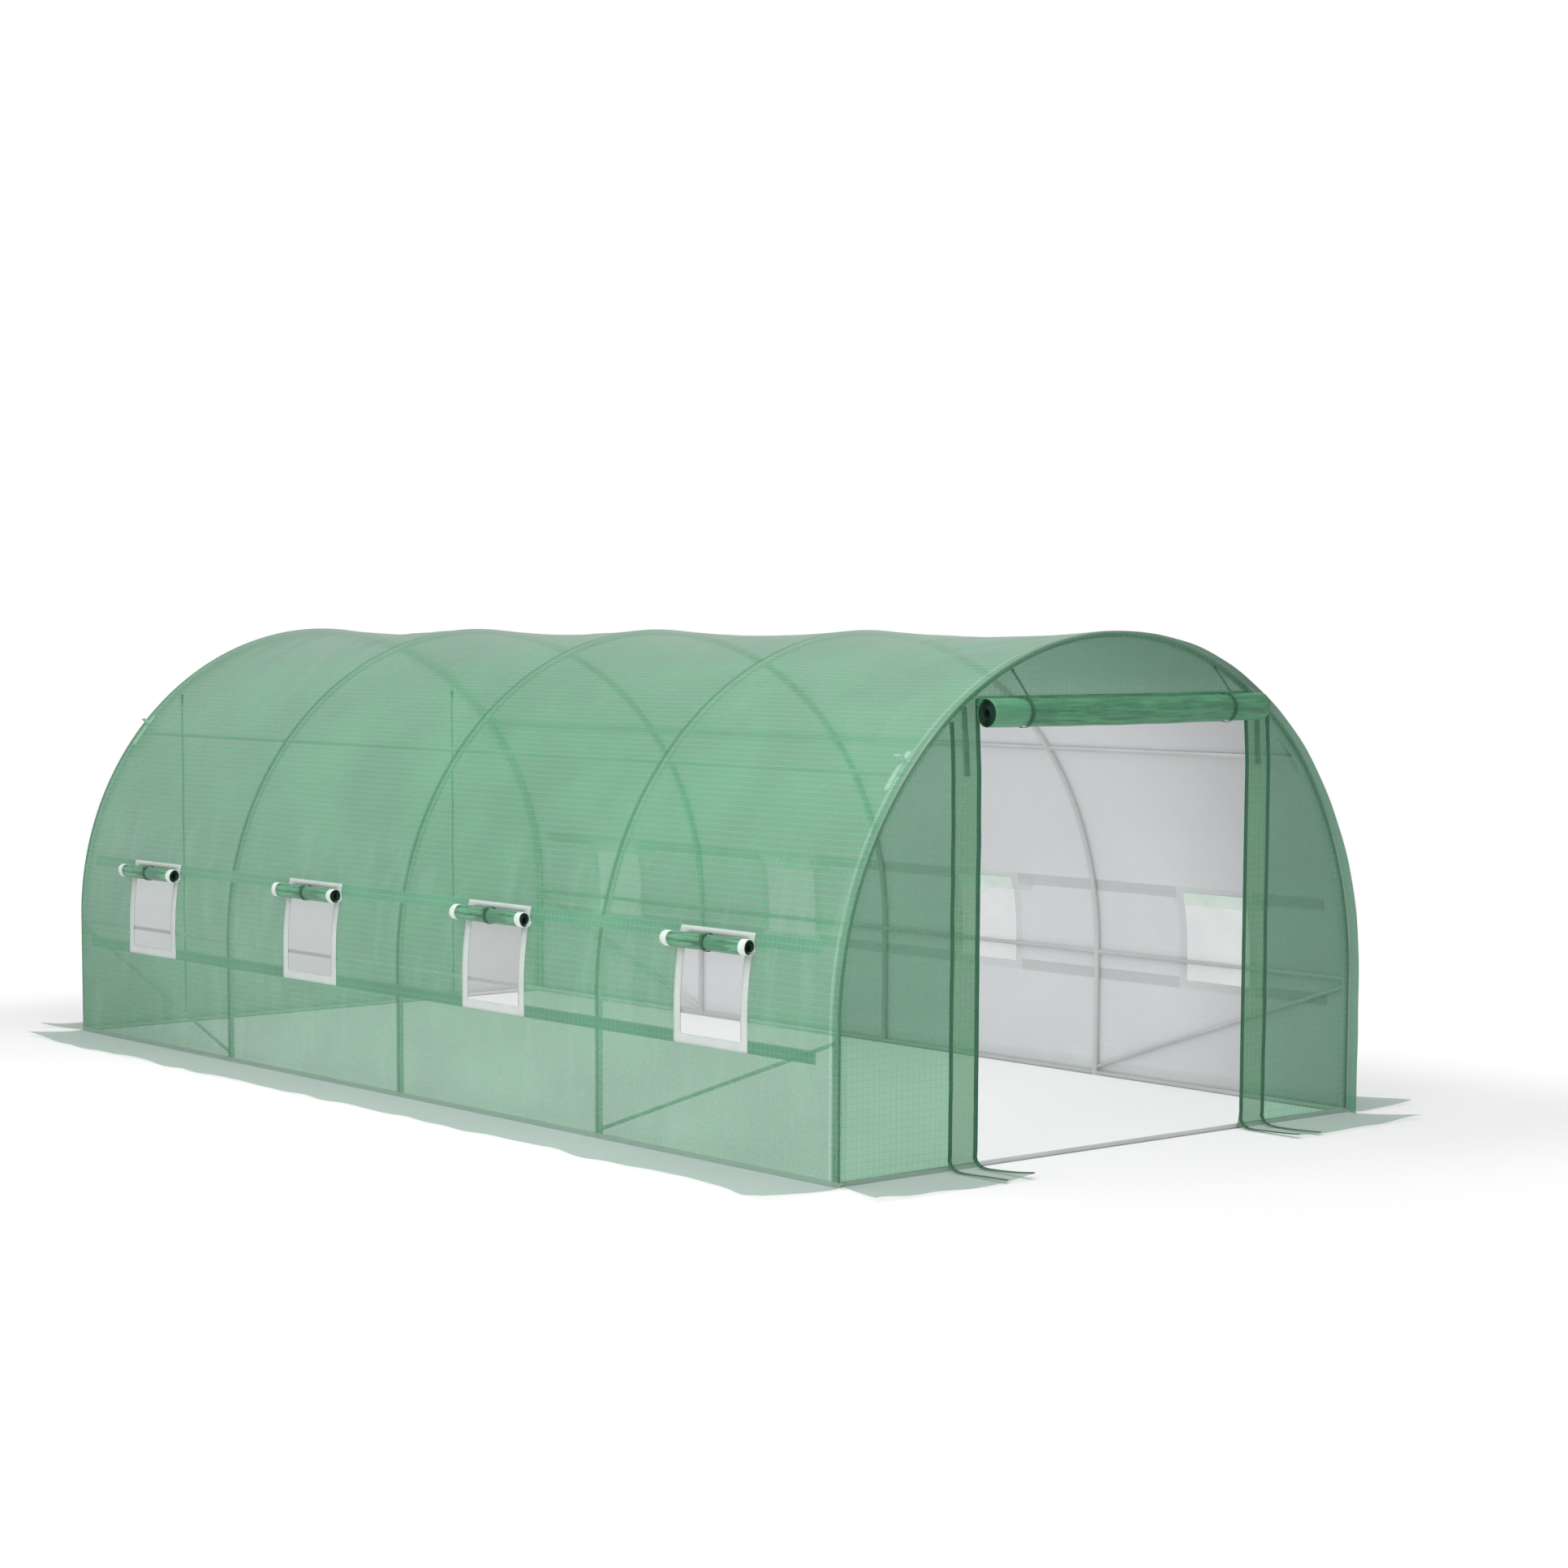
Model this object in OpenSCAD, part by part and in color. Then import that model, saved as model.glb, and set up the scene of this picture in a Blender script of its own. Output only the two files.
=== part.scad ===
// Polytunnel greenhouse: five steel hoops under a stretched woven cover, with a
// rolled-up door, a zipped back door and eight screened windows with rolled blinds.
// Millimetres. +Z is up, +Y runs along the tunnel, the doorway faces -Y.
// The spring line is the height at which the straight legs turn into the arch.

/* [Tunnel] */
// Width over the cover
tunnel_w = 3000; // [2600:10:3400]
// Length over the cover
tunnel_l = 5950; // [5000:50:6900]
// Height to the top of the cover
tunnel_h = 2100; // [1900:10:2400]
// Thickness of the cover and end sheets as modelled
cover_t = 4; // [3:0.5:6]
// Angle up the arch at which a wall sheet meets its shoulder sheet
wall_angle = 22; // [18:1:28]
// Angle up the arch at which a shoulder sheet meets the crown sheet
shoulder_angle = 62; // [52:1:72]

/* [Frame] */
// Hoop tube diameter
hoop_d = 25; // [23:0.5:32]
// Distance of the front hoop behind the front edge of the cover
front_in = 68; // [56:1:82]
// Rail tube diameter
rail_d = 19; // [15:0.5:22]
// Brace tube diameter
brace_d = 16; // [12:0.5:19]
// Drop of the waist rails below the spring line
waist_drop = 15; // [10:1:20]
// Angle up the arch of the shoulder rails
rail_angle = 40; // [34:1:48]
// Drop below the spring line of a brace's upper end
brace_drop = 48; // [44:1:80]
// Height of a brace's lower end
brace_foot = 36; // [34:1:60]

/* [Windows] */
// Width over a window's border
win_w = 455; // [380:5:530]
// Height over a window's border
win_h = 472; // [400:2:540]
// Drop of a window's lower edge below the spring line
win_drop = 143; // [110:1:190]
// Width of the border at the sides
border_side = 42; // [30:1:50]
// Width of the border at the foot
border_foot = 40; // [34:1:50]
// Width of the border at the head
border_head = 25; // [20:1:30]
// Thickness of the border
border_t = 2; // [1.5:0.5:3]
// Height of the strengthening bands between the windows
band_h = 52; // [40:1:65]
// Thickness of the strengthening bands
band_t = 1; // [0.5:0.1:1.4]
// Distance of the bands' ends from the end hoops
band_in = 105; // [60:5:150]
// Thickness of the insect screen
screen_t = 1.6; // [1:0.2:2]
// Diameter of a rolled window blind
blind_d = 72; // [60:1:84]
// How much longer a blind is than the window is wide
blind_over = 60; // [30:5:90]
// Drop of the middle of a blind below the window's upper edge
blind_drop = 52; // [46:1:60]
// Turns of sheet in a blind
blind_turns = 3; // [2:1:3]
// Width of the tie round a blind
blind_tie_w = 20; // [12:1:30]

/* [Doorway] */
// Clear width of the doorway
door_w = 1544; // [1300:4:1640]
// Distance from the top of the cover down to the head of the doorway
door_head = 262; // [250:2:320]
// Diameter of the rolled-up door
roll_d = 118; // [98:1:138]
// How much longer the rolled-up door is than the doorway is wide
roll_over = 24; // [0:2:48]
// Sideways shift of the rolled-up door
roll_shift = -9; // [-20:1:20]
// Drop of the middle of the rolled-up door below the head of the doorway
roll_drop = 56; // [44:1:68]
// Turns of sheet in the rolled-up door
roll_turns = 4; // [3:1:4]
// Width of the zip and edge strips
trim_w = 20; // [14:1:26]
// Thickness of the zip and edge strips
trim_t = 3; // [2:0.5:4]
// Distance from the doorway's edge out to the zip
zip_out = 147; // [130:1:170]
// Drop of the zip's upper end below the head of the doorway
zip_drop = 88; // [76:1:110]
// Distance of each door tie from the middle of the doorway
tie_x = 590; // [500:5:650]
// Width of a door tie
tie_w = 15; // [10:1:20]
// Height of a door tie's seam above the head of the doorway
tie_rise = 104; // [80:1:108]
// Height of the sewn-down end of a door tie
tie_seam = 16; // [10:1:24]
// Width of the hanging straps
strap_w = 28; // [22:1:34]
// Distance from the doorway's edge out to the hanging strap
strap_out = 79; // [68:1:90]
// Length of a hanging strap
strap_l = 268; // [230:2:310]
// Drop of a hanging strap's upper end below the head of the doorway
strap_drop = 30; // [26:1:40]

/* [Skirt] */
// Width of the ground flaps beside the walls and the front end sheet
skirt_w = 340; // [280:5:400]
// Thickness of the ground flaps
skirt_t = 4; // [3:0.5:6]
// How far the ends of the end flaps splay past the corner
end_splay = 100; // [60:5:140]
// Distance of the flap ends from the corner at the wall
corner_gap = 15; // [8:1:30]

/* [Back door and loops] */
// Distance of the back-door zips outside the doorway's width
back_zip_out = 103; // [80:1:120]
// Angle up the arch at which the guy loops sit
loop_angle = 42; // [36:1:48]
// Distance of a guy loop from its end hoop
loop_in = 45; // [35:1:60]
// Width of a guy loop along the tunnel
loop_w = 40; // [32:1:50]
// How far a guy loop stands out
loop_out = 36; // [28:1:44]
// Thickness of a guy loop's tab
loop_t = 6; // [4:0.5:8]
// Diameter of the eye in a guy loop
loop_eye = 14; // [8:1:18]

/* [Hidden] */
$fn = 96;
arch_fn = 360;
tube_fn = 48;
seat = 0.3;
cut = 20;
arch_r = tunnel_w / 2;
leg_h = tunnel_h - arch_r;
inner_r = arch_r - cover_t;
hoop_r = inner_r - seat - hoop_d / 2;
end_y = tunnel_l / 2;
front_hoop_y = front_in - end_y;
back_hoop_y = end_y - cover_t - seat - hoop_d / 2;
bays = 4;
bay = (back_hoop_y - front_hoop_y) / bays;
big = 2 * arch_r;
// The front end sheet hangs just before the front hoop, inside the edge of the cover.
front_y = front_hoop_y - hoop_d / 2 - seat - cover_t;
skirt_y = skirt_w - front_y;

base_z = rail_d / 2;
waist_z = leg_h - waist_drop;
shoulder_z = leg_h + hoop_r * sin(rail_angle);
brace_top = leg_h - brace_drop;

win_low = leg_h - win_drop;
win_high = win_low + win_h;
opening_w = win_w - 2 * border_side;
opening_low = win_low + border_foot;
opening_high = win_high - border_head;
blind_l = win_w + blind_over;
blind_z = win_high - blind_drop;
blind_x = skin_x(blind_z, arch_r + border_t + seat + blind_d / 2);

door_h = tunnel_h - door_head;
door_half = door_w / 2;
zip_x = door_half + zip_out;
zip_top = door_h - zip_drop;
roll_l = door_w + roll_over;
roll_z = door_h - roll_drop;
roll_y = front_y - trim_t - seat - roll_d / 2;
strap_x = door_half + strap_out;
strap_top = door_h - strap_drop;
tie_z = door_h + tie_rise;
back_zip_x = door_half + back_zip_out;

// A roll's layers are two thirds sheet and one third air.
sheet_part = 2 / 3;
roll_core = 0.38;

cover_green = [0.42, 0.65, 0.52];
dark_green = [0.22, 0.45, 0.32];
zip_green = [0.08, 0.28, 0.18];
steel = [0.72, 0.74, 0.76];
white = [0.90, 0.92, 0.90];
grey = [0.75, 0.77, 0.77];

function hoop_y(i) = front_hoop_y + i * bay;
function bay_y(i) = hoop_y(i) + bay / 2;
// Half-width of an arch of radius r at height z, straight below the spring line.
function skin_x(z, r) = z <= leg_h ? r : sqrt(r * r - (z - leg_h) * (z - leg_h));
// Height of an arch of radius r at distance x from the middle.
function skin_z(x, r) = leg_h + sqrt(r * r - x * x);
// Distance between the layers of a roll of radius r.
function roll_pitch(r, turns) = r * (1 - roll_core) / turns;

// A bar along Y.
module bar_y(d, l) {
  rotate([-90, 0, 0]) cylinder(d = d, h = l);
}

// Half a ring along Z, on the +Y side, or on the -Y side if low is true.
module half_ring(r, t, l, low) {
  difference() {
    cylinder(r = r, h = l);
    translate([0, 0, -cut]) cylinder(r = r - t, h = l + 2 * cut);
    translate([-2 * r, low ? 0 : -2 * r, -cut]) cube([4 * r, 2 * r, l + 2 * cut]);
  }
}

// A roll of sheet along Z, coiled from half rings about two centres. The sheet comes
// in at +X, goes round on the -Y side, and ends near the core.
module sheet_roll(r, l, turns) {
  pitch = roll_pitch(r, turns);
  for (k = [0 : turns - 1]) {
    half_ring(r - k * pitch, pitch * sheet_part, l, true);
    translate([-pitch / 2, 0, 0])
      half_ring(r - (k + 1 / 2) * pitch, pitch * sheet_part, l, false);
  }
}

// The solid under an arch of radius r, from y0 over length l.
module arch_body(r, y0, l) {
  intersection() {
    translate([0, y0, leg_h]) bar_y(2 * r, l, $fn = arch_fn);
    translate([-r - cut, y0, leg_h]) cube([2 * (r + cut), l, r + cut]);
  }
  translate([-r, y0, 0]) cube([2 * r, l, leg_h]);
}

// The shell between two arches, the whole length of the tunnel.
module arch_shell(outer, inner) {
  difference() {
    arch_body(outer, -end_y, tunnel_l);
    arch_body(inner, -end_y - cut, tunnel_l + 2 * cut);
  }
}

// A prism along the tunnel that keeps the part of the arch between two angles.
module arch_sector(points) {
  translate([0, end_y + cut, leg_h]) rotate([90, 0, 0])
    linear_extrude(height = tunnel_l + 2 * cut) polygon(points);
}

function ray(a) = [big * cos(a), big * sin(a)];

// One hoop: two straight legs that run tangent into half a ring.
module hoop_at(y) {
  translate([0, y, 0]) {
    for (side = [-1, 1])
      translate([side * hoop_r, 0, 0]) cylinder(d = hoop_d, h = leg_h);
    translate([0, 0, leg_h]) rotate([90, 0, 0])
      rotate_extrude(angle = 180, $fn = arch_fn) translate([hoop_r, 0]) circle(d = hoop_d, $fn = tube_fn);
  }
}

module hoop_sleeves() {
  for (i = [0 : bays]) hoop_at(hoop_y(i));
}

// Rails run from hoop to hoop, with their ends cut to sit on the round of the hoops.
module rails(side, z) {
  difference() {
    for (i = [0 : bays - 1])
      translate([side * skin_x(z, hoop_r), hoop_y(i), z]) bar_y(rail_d, bay);
    hoop_sleeves();
  }
}

// A sill lies across the tunnel between the feet of an end hoop.
module sill(i) {
  difference() {
    translate([-hoop_r, hoop_y(i), base_z])
      rotate([0, 90, 0]) cylinder(d = rail_d, h = 2 * hoop_r);
    hoop_at(hoop_y(i));
  }
}

// A brace runs from the foot of hoop "low" up to the leg of hoop "high".
module brace(side, low, high) {
  rise = brace_top - brace_foot;
  run = hoop_y(high) - hoop_y(low);
  difference() {
    translate([side * hoop_r, hoop_y(low), brace_foot])
      rotate([-atan2(run, rise), 0, 0])
        cylinder(d = brace_d, h = sqrt(rise * rise + run * run));
    hoop_at(hoop_y(low));
    hoop_at(hoop_y(high));
  }
}

// One block through the side wall at each bay.
module bay_blocks(side, w, low, high) {
  for (i = [0 : bays - 1])
    translate([side > 0 ? arch_r / 2 : -arch_r * 3 / 2, bay_y(i) - w / 2, low])
      cube([arch_r, w, high - low]);
}

module wall_cover(side) {
  difference() {
    intersection() {
      arch_shell(arch_r, inner_r);
      arch_sector([
        [0, 0], [side * ray(wall_angle)[0], ray(wall_angle)[1]],
        [side * big, ray(wall_angle)[1]], [side * big, -big], [0, -big]
      ]);
    }
    bay_blocks(side, opening_w, opening_low, opening_high);
  }
}

module shoulder_cover(side) {
  intersection() {
    arch_shell(arch_r, inner_r);
    arch_sector([
      [0, 0], [side * ray(wall_angle)[0], ray(wall_angle)[1]],
      [side * ray(shoulder_angle)[0], ray(shoulder_angle)[1]]
    ]);
  }
}

// Ground flaps: square-ended along the walls, splayed past the corners at the ends.
module skirt(points) {
  linear_extrude(height = skirt_t) polygon(points);
}

module side_skirt(side) {
  skirt([
    [side * arch_r, -end_y + corner_gap], [side * arch_r, end_y - corner_gap],
    [side * (arch_r + skirt_w), end_y - corner_gap],
    [side * (arch_r + skirt_w), -end_y + corner_gap]
  ]);
}

module front_skirt(side) {
  skirt([
    [side * door_half, front_y], [side * (arch_r - corner_gap), front_y],
    [side * (arch_r - corner_gap), -end_y],
    [side * (arch_r + end_splay), -skirt_y], [side * door_half, -skirt_y]
  ]);
}

// Two strips of doubled sheet along each wall, level with the windows' edges.
module wall_bands(side) {
  difference() {
    intersection() {
      arch_shell(arch_r + band_t, arch_r);
      for (low = [win_low, win_high - band_h])
        translate([side > 0 ? arch_r / 2 : -arch_r * 3 / 2, front_hoop_y + band_in, low])
          cube([arch_r, bays * bay - 2 * band_in, band_h]);
    }
    bay_blocks(side, win_w, win_low, win_high);
  }
}

module window_borders(side) {
  difference() {
    intersection() {
      arch_shell(arch_r + border_t, arch_r);
      bay_blocks(side, win_w, win_low, win_high);
    }
    bay_blocks(side, opening_w, opening_low, opening_high);
  }
}

module window_screens(side) {
  intersection() {
    arch_shell(inner_r + (cover_t + screen_t) / 2, inner_r + (cover_t - screen_t) / 2);
    bay_blocks(side, opening_w, opening_low, opening_high);
  }
}

module window_blinds(side) {
  for (i = [0 : bays - 1])
    translate([side * blind_x, bay_y(i) + side * blind_l / 2, blind_z])
      rotate([0, 0, side > 0 ? 180 : 0]) rotate([90, 0, 0]) translate([0, 0, -blind_l])
        sheet_roll(blind_d / 2, blind_l, blind_turns);
}

// A strip down the front end sheet that turns out along the ground flap.
module door_strip(x, top) {
  height = min(top, skin_z(abs(x) + trim_w / 2, inner_r)) - skirt_t;
  translate([x - trim_w / 2, front_y - trim_t, skirt_t]) cube([trim_w, trim_t, height]);
  translate([x - trim_w / 2, -skirt_y, skirt_t]) cube([trim_w, skirt_w, trim_t]);
}

module front_panel(side) {
  intersection() {
    arch_body(inner_r, front_y, cover_t);
    translate([side > 0 ? door_half : -big - door_half, front_y - cut, -cut])
      cube([big, cover_t + 2 * cut, big]);
  }
}

module front_hoop() { color(steel) hoop_at(hoop_y(0)); }
module second_hoop() { color(steel) hoop_at(hoop_y(1)); }
module middle_hoop() { color(steel) hoop_at(hoop_y(2)); }
module fourth_hoop() { color(steel) hoop_at(hoop_y(3)); }
module back_hoop() { color(steel) hoop_at(hoop_y(4)); }

module left_base_rail() { color(steel) rails(-1, base_z); }
module right_base_rail() { color(steel) rails(1, base_z); }
module front_sill_rail() { color(steel) sill(0); }
module back_sill_rail() { color(steel) sill(bays); }
module left_waist_rail() { color(steel) rails(-1, waist_z); }
module right_waist_rail() { color(steel) rails(1, waist_z); }
module left_shoulder_rail() { color(steel) rails(-1, shoulder_z); }
module right_shoulder_rail() { color(steel) rails(1, shoulder_z); }

module left_front_brace() { color(steel) brace(-1, 1, 0); }
module left_back_brace() { color(steel) brace(-1, bays - 1, bays); }
module right_front_brace() { color(steel) brace(1, 1, 0); }
module right_back_brace() { color(steel) brace(1, bays - 1, bays); }

module left_wall_cover() { color(cover_green) wall_cover(-1); }
module left_shoulder_cover() { color(cover_green) shoulder_cover(-1); }
module right_shoulder_cover() { color(cover_green) shoulder_cover(1); }
module right_wall_cover() { color(cover_green) wall_cover(1); }

module crown_cover() {
  color(cover_green) intersection() {
    arch_shell(arch_r, inner_r);
    arch_sector([[0, 0], ray(shoulder_angle), ray(180 - shoulder_angle)]);
  }
}

module front_panel_left() { color(cover_green) front_panel(-1); }
module front_panel_right() { color(cover_green) front_panel(1); }

module front_panel_top() {
  color(cover_green) intersection() {
    arch_body(inner_r, front_y, cover_t);
    translate([-door_half, front_y - cut, door_h]) cube([door_w, cover_t + 2 * cut, big]);
  }
}

module back_panel() { color(cover_green) arch_body(inner_r, end_y - cover_t, cover_t); }

module left_skirt() { color(cover_green) side_skirt(-1); }
module right_skirt() { color(cover_green) side_skirt(1); }
module front_left_skirt() { color(cover_green) front_skirt(-1); }
module front_right_skirt() { color(cover_green) front_skirt(1); }

module back_skirt() {
  color(cover_green) skirt([
    [-arch_r + corner_gap, end_y], [arch_r - corner_gap, end_y],
    [arch_r + end_splay, skirt_y], [-arch_r - end_splay, skirt_y]
  ]);
}

module left_wall_bands() { color(dark_green) wall_bands(-1); }
module right_wall_bands() { color(dark_green) wall_bands(1); }
module left_window_borders() { color(white) window_borders(-1); }
module right_window_borders() { color(white) window_borders(1); }
module left_window_screens() { color(grey) window_screens(-1); }
module right_window_screens() { color(grey) window_screens(1); }
module left_window_blinds() { color(dark_green) window_blinds(-1); }
module right_window_blinds() { color(dark_green) window_blinds(1); }

// Each blind is held up by a band round its middle.
module window_blind_ties() {
  color(zip_green) for (side = [-1, 1], i = [0 : bays - 1])
    translate([side * blind_x, bay_y(i) - blind_tie_w / 2, blind_z]) difference() {
      bar_y(blind_d + 2 * border_t, blind_tie_w);
      translate([0, -cut, 0]) bar_y(blind_d, blind_tie_w + 2 * cut);
    }
}

module door_roll() {
  color(dark_green) translate([roll_shift - roll_l / 2, roll_y, roll_z])
    rotate([90, 0, 90]) sheet_roll(roll_d / 2, roll_l, roll_turns);
}

// A tie goes round the roll and runs straight up from its front to a seam on the sheet
// over the doorway. The straight part leaves the round of the roll as a tangent.
module door_roll_ties() {
  r = roll_d / 2;
  ahead = front_y - roll_y;
  rise = tie_z - roll_z;
  reach = sqrt(ahead * ahead + rise * rise);
  tangent = atan2(rise, ahead) + acos(r / reach);
  color(zip_green) for (side = [-1, 1]) translate([side * tie_x - tie_w / 2, 0, 0]) {
    difference() {
      translate([0, roll_y, roll_z]) rotate([0, 90, 0]) cylinder(r = r + trim_t, h = tie_w);
      translate([-cut, roll_y, roll_z]) rotate([0, 90, 0]) cylinder(r = r, h = tie_w + 2 * cut);
    }
    translate([seat, roll_y, roll_z]) rotate([tangent - 90, 0, 0]) translate([0, 0, r + trim_t / 4])
      cube([tie_w - 2 * seat, sqrt(reach * reach - r * r), trim_t / 2]);
    translate([0, front_y - trim_t, tie_z - tie_seam / 2]) cube([tie_w, trim_t, tie_seam]);
  }
}

module door_hanging_straps() {
  color(zip_green) for (side = [-1, 1])
    translate([side * strap_x - strap_w / 2, front_y - trim_t, strap_top - strap_l])
      cube([strap_w, trim_t, strap_l]);
}

// The zip and the bound edge beside the doorway.
module door_trim(side) {
  door_strip(side * zip_x, zip_top);
  door_strip(side * (door_half + trim_w / 2), door_h);
}

module left_door_trim() { color(zip_green) door_trim(-1); }
module right_door_trim() { color(zip_green) door_trim(1); }

module back_door_zips() {
  color(zip_green) for (side = [-1, 1])
    translate([side * back_zip_x - trim_w / 2, end_y, skirt_t])
      cube([trim_w, trim_t, zip_top - skirt_t]);
}

// Tabs with an eye, sewn on beside the end hoops.
module guy_loops() {
  color(zip_green) difference() {
    for (side = [-1, 1], y = [front_hoop_y + loop_in, back_hoop_y - loop_in])
      translate([0, y, leg_h]) rotate([0, -90 + side * (90 - loop_angle), 0])
        difference() {
          translate([arch_r - cut, -loop_w / 2, -loop_t / 2])
            cube([loop_out + cut, loop_w, loop_t]);
          translate([arch_r + loop_out / 2, 0, -loop_t])
            cylinder(d = loop_eye, h = 2 * loop_t);
        }
    arch_body(arch_r, -end_y - cut, tunnel_l + 2 * cut);
  }
}

front_hoop();
second_hoop();
middle_hoop();
fourth_hoop();
back_hoop();
left_base_rail();
right_base_rail();
front_sill_rail();
back_sill_rail();
left_waist_rail();
right_waist_rail();
left_shoulder_rail();
right_shoulder_rail();
left_front_brace();
left_back_brace();
right_front_brace();
right_back_brace();
left_wall_cover();
left_shoulder_cover();
crown_cover();
right_shoulder_cover();
right_wall_cover();
front_panel_left();
front_panel_right();
front_panel_top();
back_panel();
left_skirt();
right_skirt();
front_left_skirt();
front_right_skirt();
back_skirt();
left_wall_bands();
right_wall_bands();
left_window_borders();
right_window_borders();
left_window_screens();
right_window_screens();
left_window_blinds();
right_window_blinds();
window_blind_ties();
door_roll();
door_roll_ties();
door_hanging_straps();
left_door_trim();
right_door_trim();
back_door_zips();
guy_loops();
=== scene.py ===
"""Looks of the polytunnel greenhouse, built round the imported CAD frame. Metres.

+Z is up, +Y runs along the tunnel and the doorway faces -Y, as in the part's source.
"""
import math

import bmesh
import bpy
import numpy as np
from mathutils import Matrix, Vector


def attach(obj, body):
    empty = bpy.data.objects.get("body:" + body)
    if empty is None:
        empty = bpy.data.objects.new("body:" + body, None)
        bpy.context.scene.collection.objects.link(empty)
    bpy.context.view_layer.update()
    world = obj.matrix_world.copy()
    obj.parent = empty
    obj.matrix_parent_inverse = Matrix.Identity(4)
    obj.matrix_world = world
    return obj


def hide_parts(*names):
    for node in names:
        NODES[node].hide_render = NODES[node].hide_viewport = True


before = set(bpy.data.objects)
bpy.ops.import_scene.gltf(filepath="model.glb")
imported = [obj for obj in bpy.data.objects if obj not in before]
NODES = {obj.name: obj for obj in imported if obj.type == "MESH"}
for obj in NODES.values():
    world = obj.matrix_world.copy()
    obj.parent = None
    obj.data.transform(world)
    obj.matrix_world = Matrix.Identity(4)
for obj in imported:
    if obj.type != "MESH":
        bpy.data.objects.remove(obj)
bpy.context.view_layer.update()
rng = np.random.default_rng(11)

# Sizes, as in the part's source.
RADIUS, LEG, END = 1.5, 0.6, 2.975
FACE = -2.9238
HOOP_Y = [-2.907 + 1.4663 * i for i in range(5)]
BAY_Y = [(a + b) / 2 for a, b in zip(HOOP_Y, HOOP_Y[1:])]
QUARTER = RADIUS * math.pi / 2
HALF = QUARTER + LEG
WIN_LOW, WIN_HIGH, WIN_HALF = 0.457, 0.929, 0.2275
OPEN_LOW, OPEN_HIGH, OPEN_HALF = 0.497, 0.904, 0.1855
BAND_H, BAND_Y0, BAND_Y1 = 0.052, -2.802, 2.8532
BLIND_Z, BLIND_R, BLIND_L, BLIND_X = 0.877, 0.036, 0.515, 1.5132
DOOR_HALF, DOOR_H = 0.772, 1.838
ROLL_X0, ROLL_X1, ROLL_Y, ROLL_Z, ROLL_R = -0.793, 0.800, -2.9861, 1.782, 0.059
ZIP_X, ZIP_TOP, EDGE_X, TRIM_W = 0.919, 1.750, 0.782, 0.020
BACK_ZIP_X = 0.875
TIE_X, TIE_Z, TIE_W = 0.590, 1.942, 0.013
STRAP_X, STRAP_TOP, STRAP_L, STRAP_W = 0.851, 1.808, 0.268, 0.028
SKIRT_W, SKIRT_Y, END_SPLAY, CORNER_GAP = 0.340, 3.2638, 0.100, 0.015

SIDES = ((-1, "left"), (1, "right"))

# Radius of the cover as drawn, and of the end sheets inside it.
FILM_R, FRONT_RIM, BACK_RIM = 1.4985, 1.4972, 1.4925


# Vertices closer than this are one, where patches are welded.
WELD = 1e-5
# Vertices across one face of a strap, and how much it thins towards its edges.
STRAP_COLS, STRAP_THIN = 6, 0.22


# Mesh helpers
def make(name, verts, faces, uv=None):
    """A smooth object in the scene. uv gives each vertex its place on the flat cloth."""
    mesh = bpy.data.meshes.new(name)
    points = [tuple(v) for v in np.asarray(verts, float)]
    mesh.from_pydata(points, [], [tuple(int(i) for i in f) for f in faces])
    if uv is not None:
        layer = mesh.uv_layers.new(name="cloth")
        index = np.zeros(len(mesh.loops), np.int32)
        mesh.loops.foreach_get("vertex_index", index)
        layer.data.foreach_set("uv", np.asarray(uv, np.float32)[index].ravel())
    mesh.polygons.foreach_set("use_smooth", np.full(len(mesh.polygons), True))
    mesh.validate()
    mesh.update()
    ob = bpy.data.objects.new(name, mesh)
    bpy.context.scene.collection.objects.link(ob)
    return ob


def grid_faces(rows, cols, keep=None):
    """Quads of a grid of vertices, row by row. keep says which of them stay."""
    out = []
    for i in range(rows - 1):
        for j in range(cols - 1):
            if keep is None or keep(i, j):
                a = i * cols + j
                out.append((a, a + 1, a + cols + 1, a + cols))
    return out


def flipped(faces):
    return [tuple(f)[::-1] for f in faces]


def prune(verts, faces, uv):
    """Drops the vertices that no face uses."""
    used = np.unique(np.array([i for f in faces for i in f]))
    new = np.full(len(verts), -1)
    new[used] = np.arange(len(used))
    return np.asarray(verts)[used], [[new[i] for i in f] for f in faces], np.asarray(uv)[used]


def steps(points, step):
    """Points in order with each gap divided into even steps no longer than step."""
    points = sorted(set(round(p, 6) for p in points))
    out = [points[0]]
    for a, b in zip(points, points[1:]):
        n = max(1, math.ceil((b - a) / step - 1e-6))
        out += [a + (b - a) * k / n for k in range(1, n + 1)]
    return np.array(out)


def solidify(ob, thickness):
    """Gives a sheet its thickness, half of it on each side."""
    mod = ob.modifiers.new("thickness", "SOLIDIFY")
    mod.thickness, mod.offset = thickness, 0.0


def joined(name, parts):
    """One object from several (verts, faces, uv, material index) lists."""
    verts, faces, uv, index, n = [], [], [], [], 0
    for v, f, t, *material in parts:
        verts.append(np.asarray(v, float))
        uv.append(np.asarray(t, float))
        faces += [[i + n for i in face] for face in f]
        index += [material[0] if material else 0] * len(f)
        n += len(v)
    ob = make(name, np.concatenate(verts), faces, np.concatenate(uv))
    ob.data.polygons.foreach_set("material_index", np.array(index, np.int32))
    return ob


def welded(name, parts):
    """As joined, with the seams between the parts closed."""
    ob = joined(name, parts)
    bm = bmesh.new()
    bm.from_mesh(ob.data)
    bmesh.ops.remove_doubles(bm, verts=bm.verts, dist=WELD)
    bm.to_mesh(ob.data)
    bm.free()
    return ob


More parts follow.
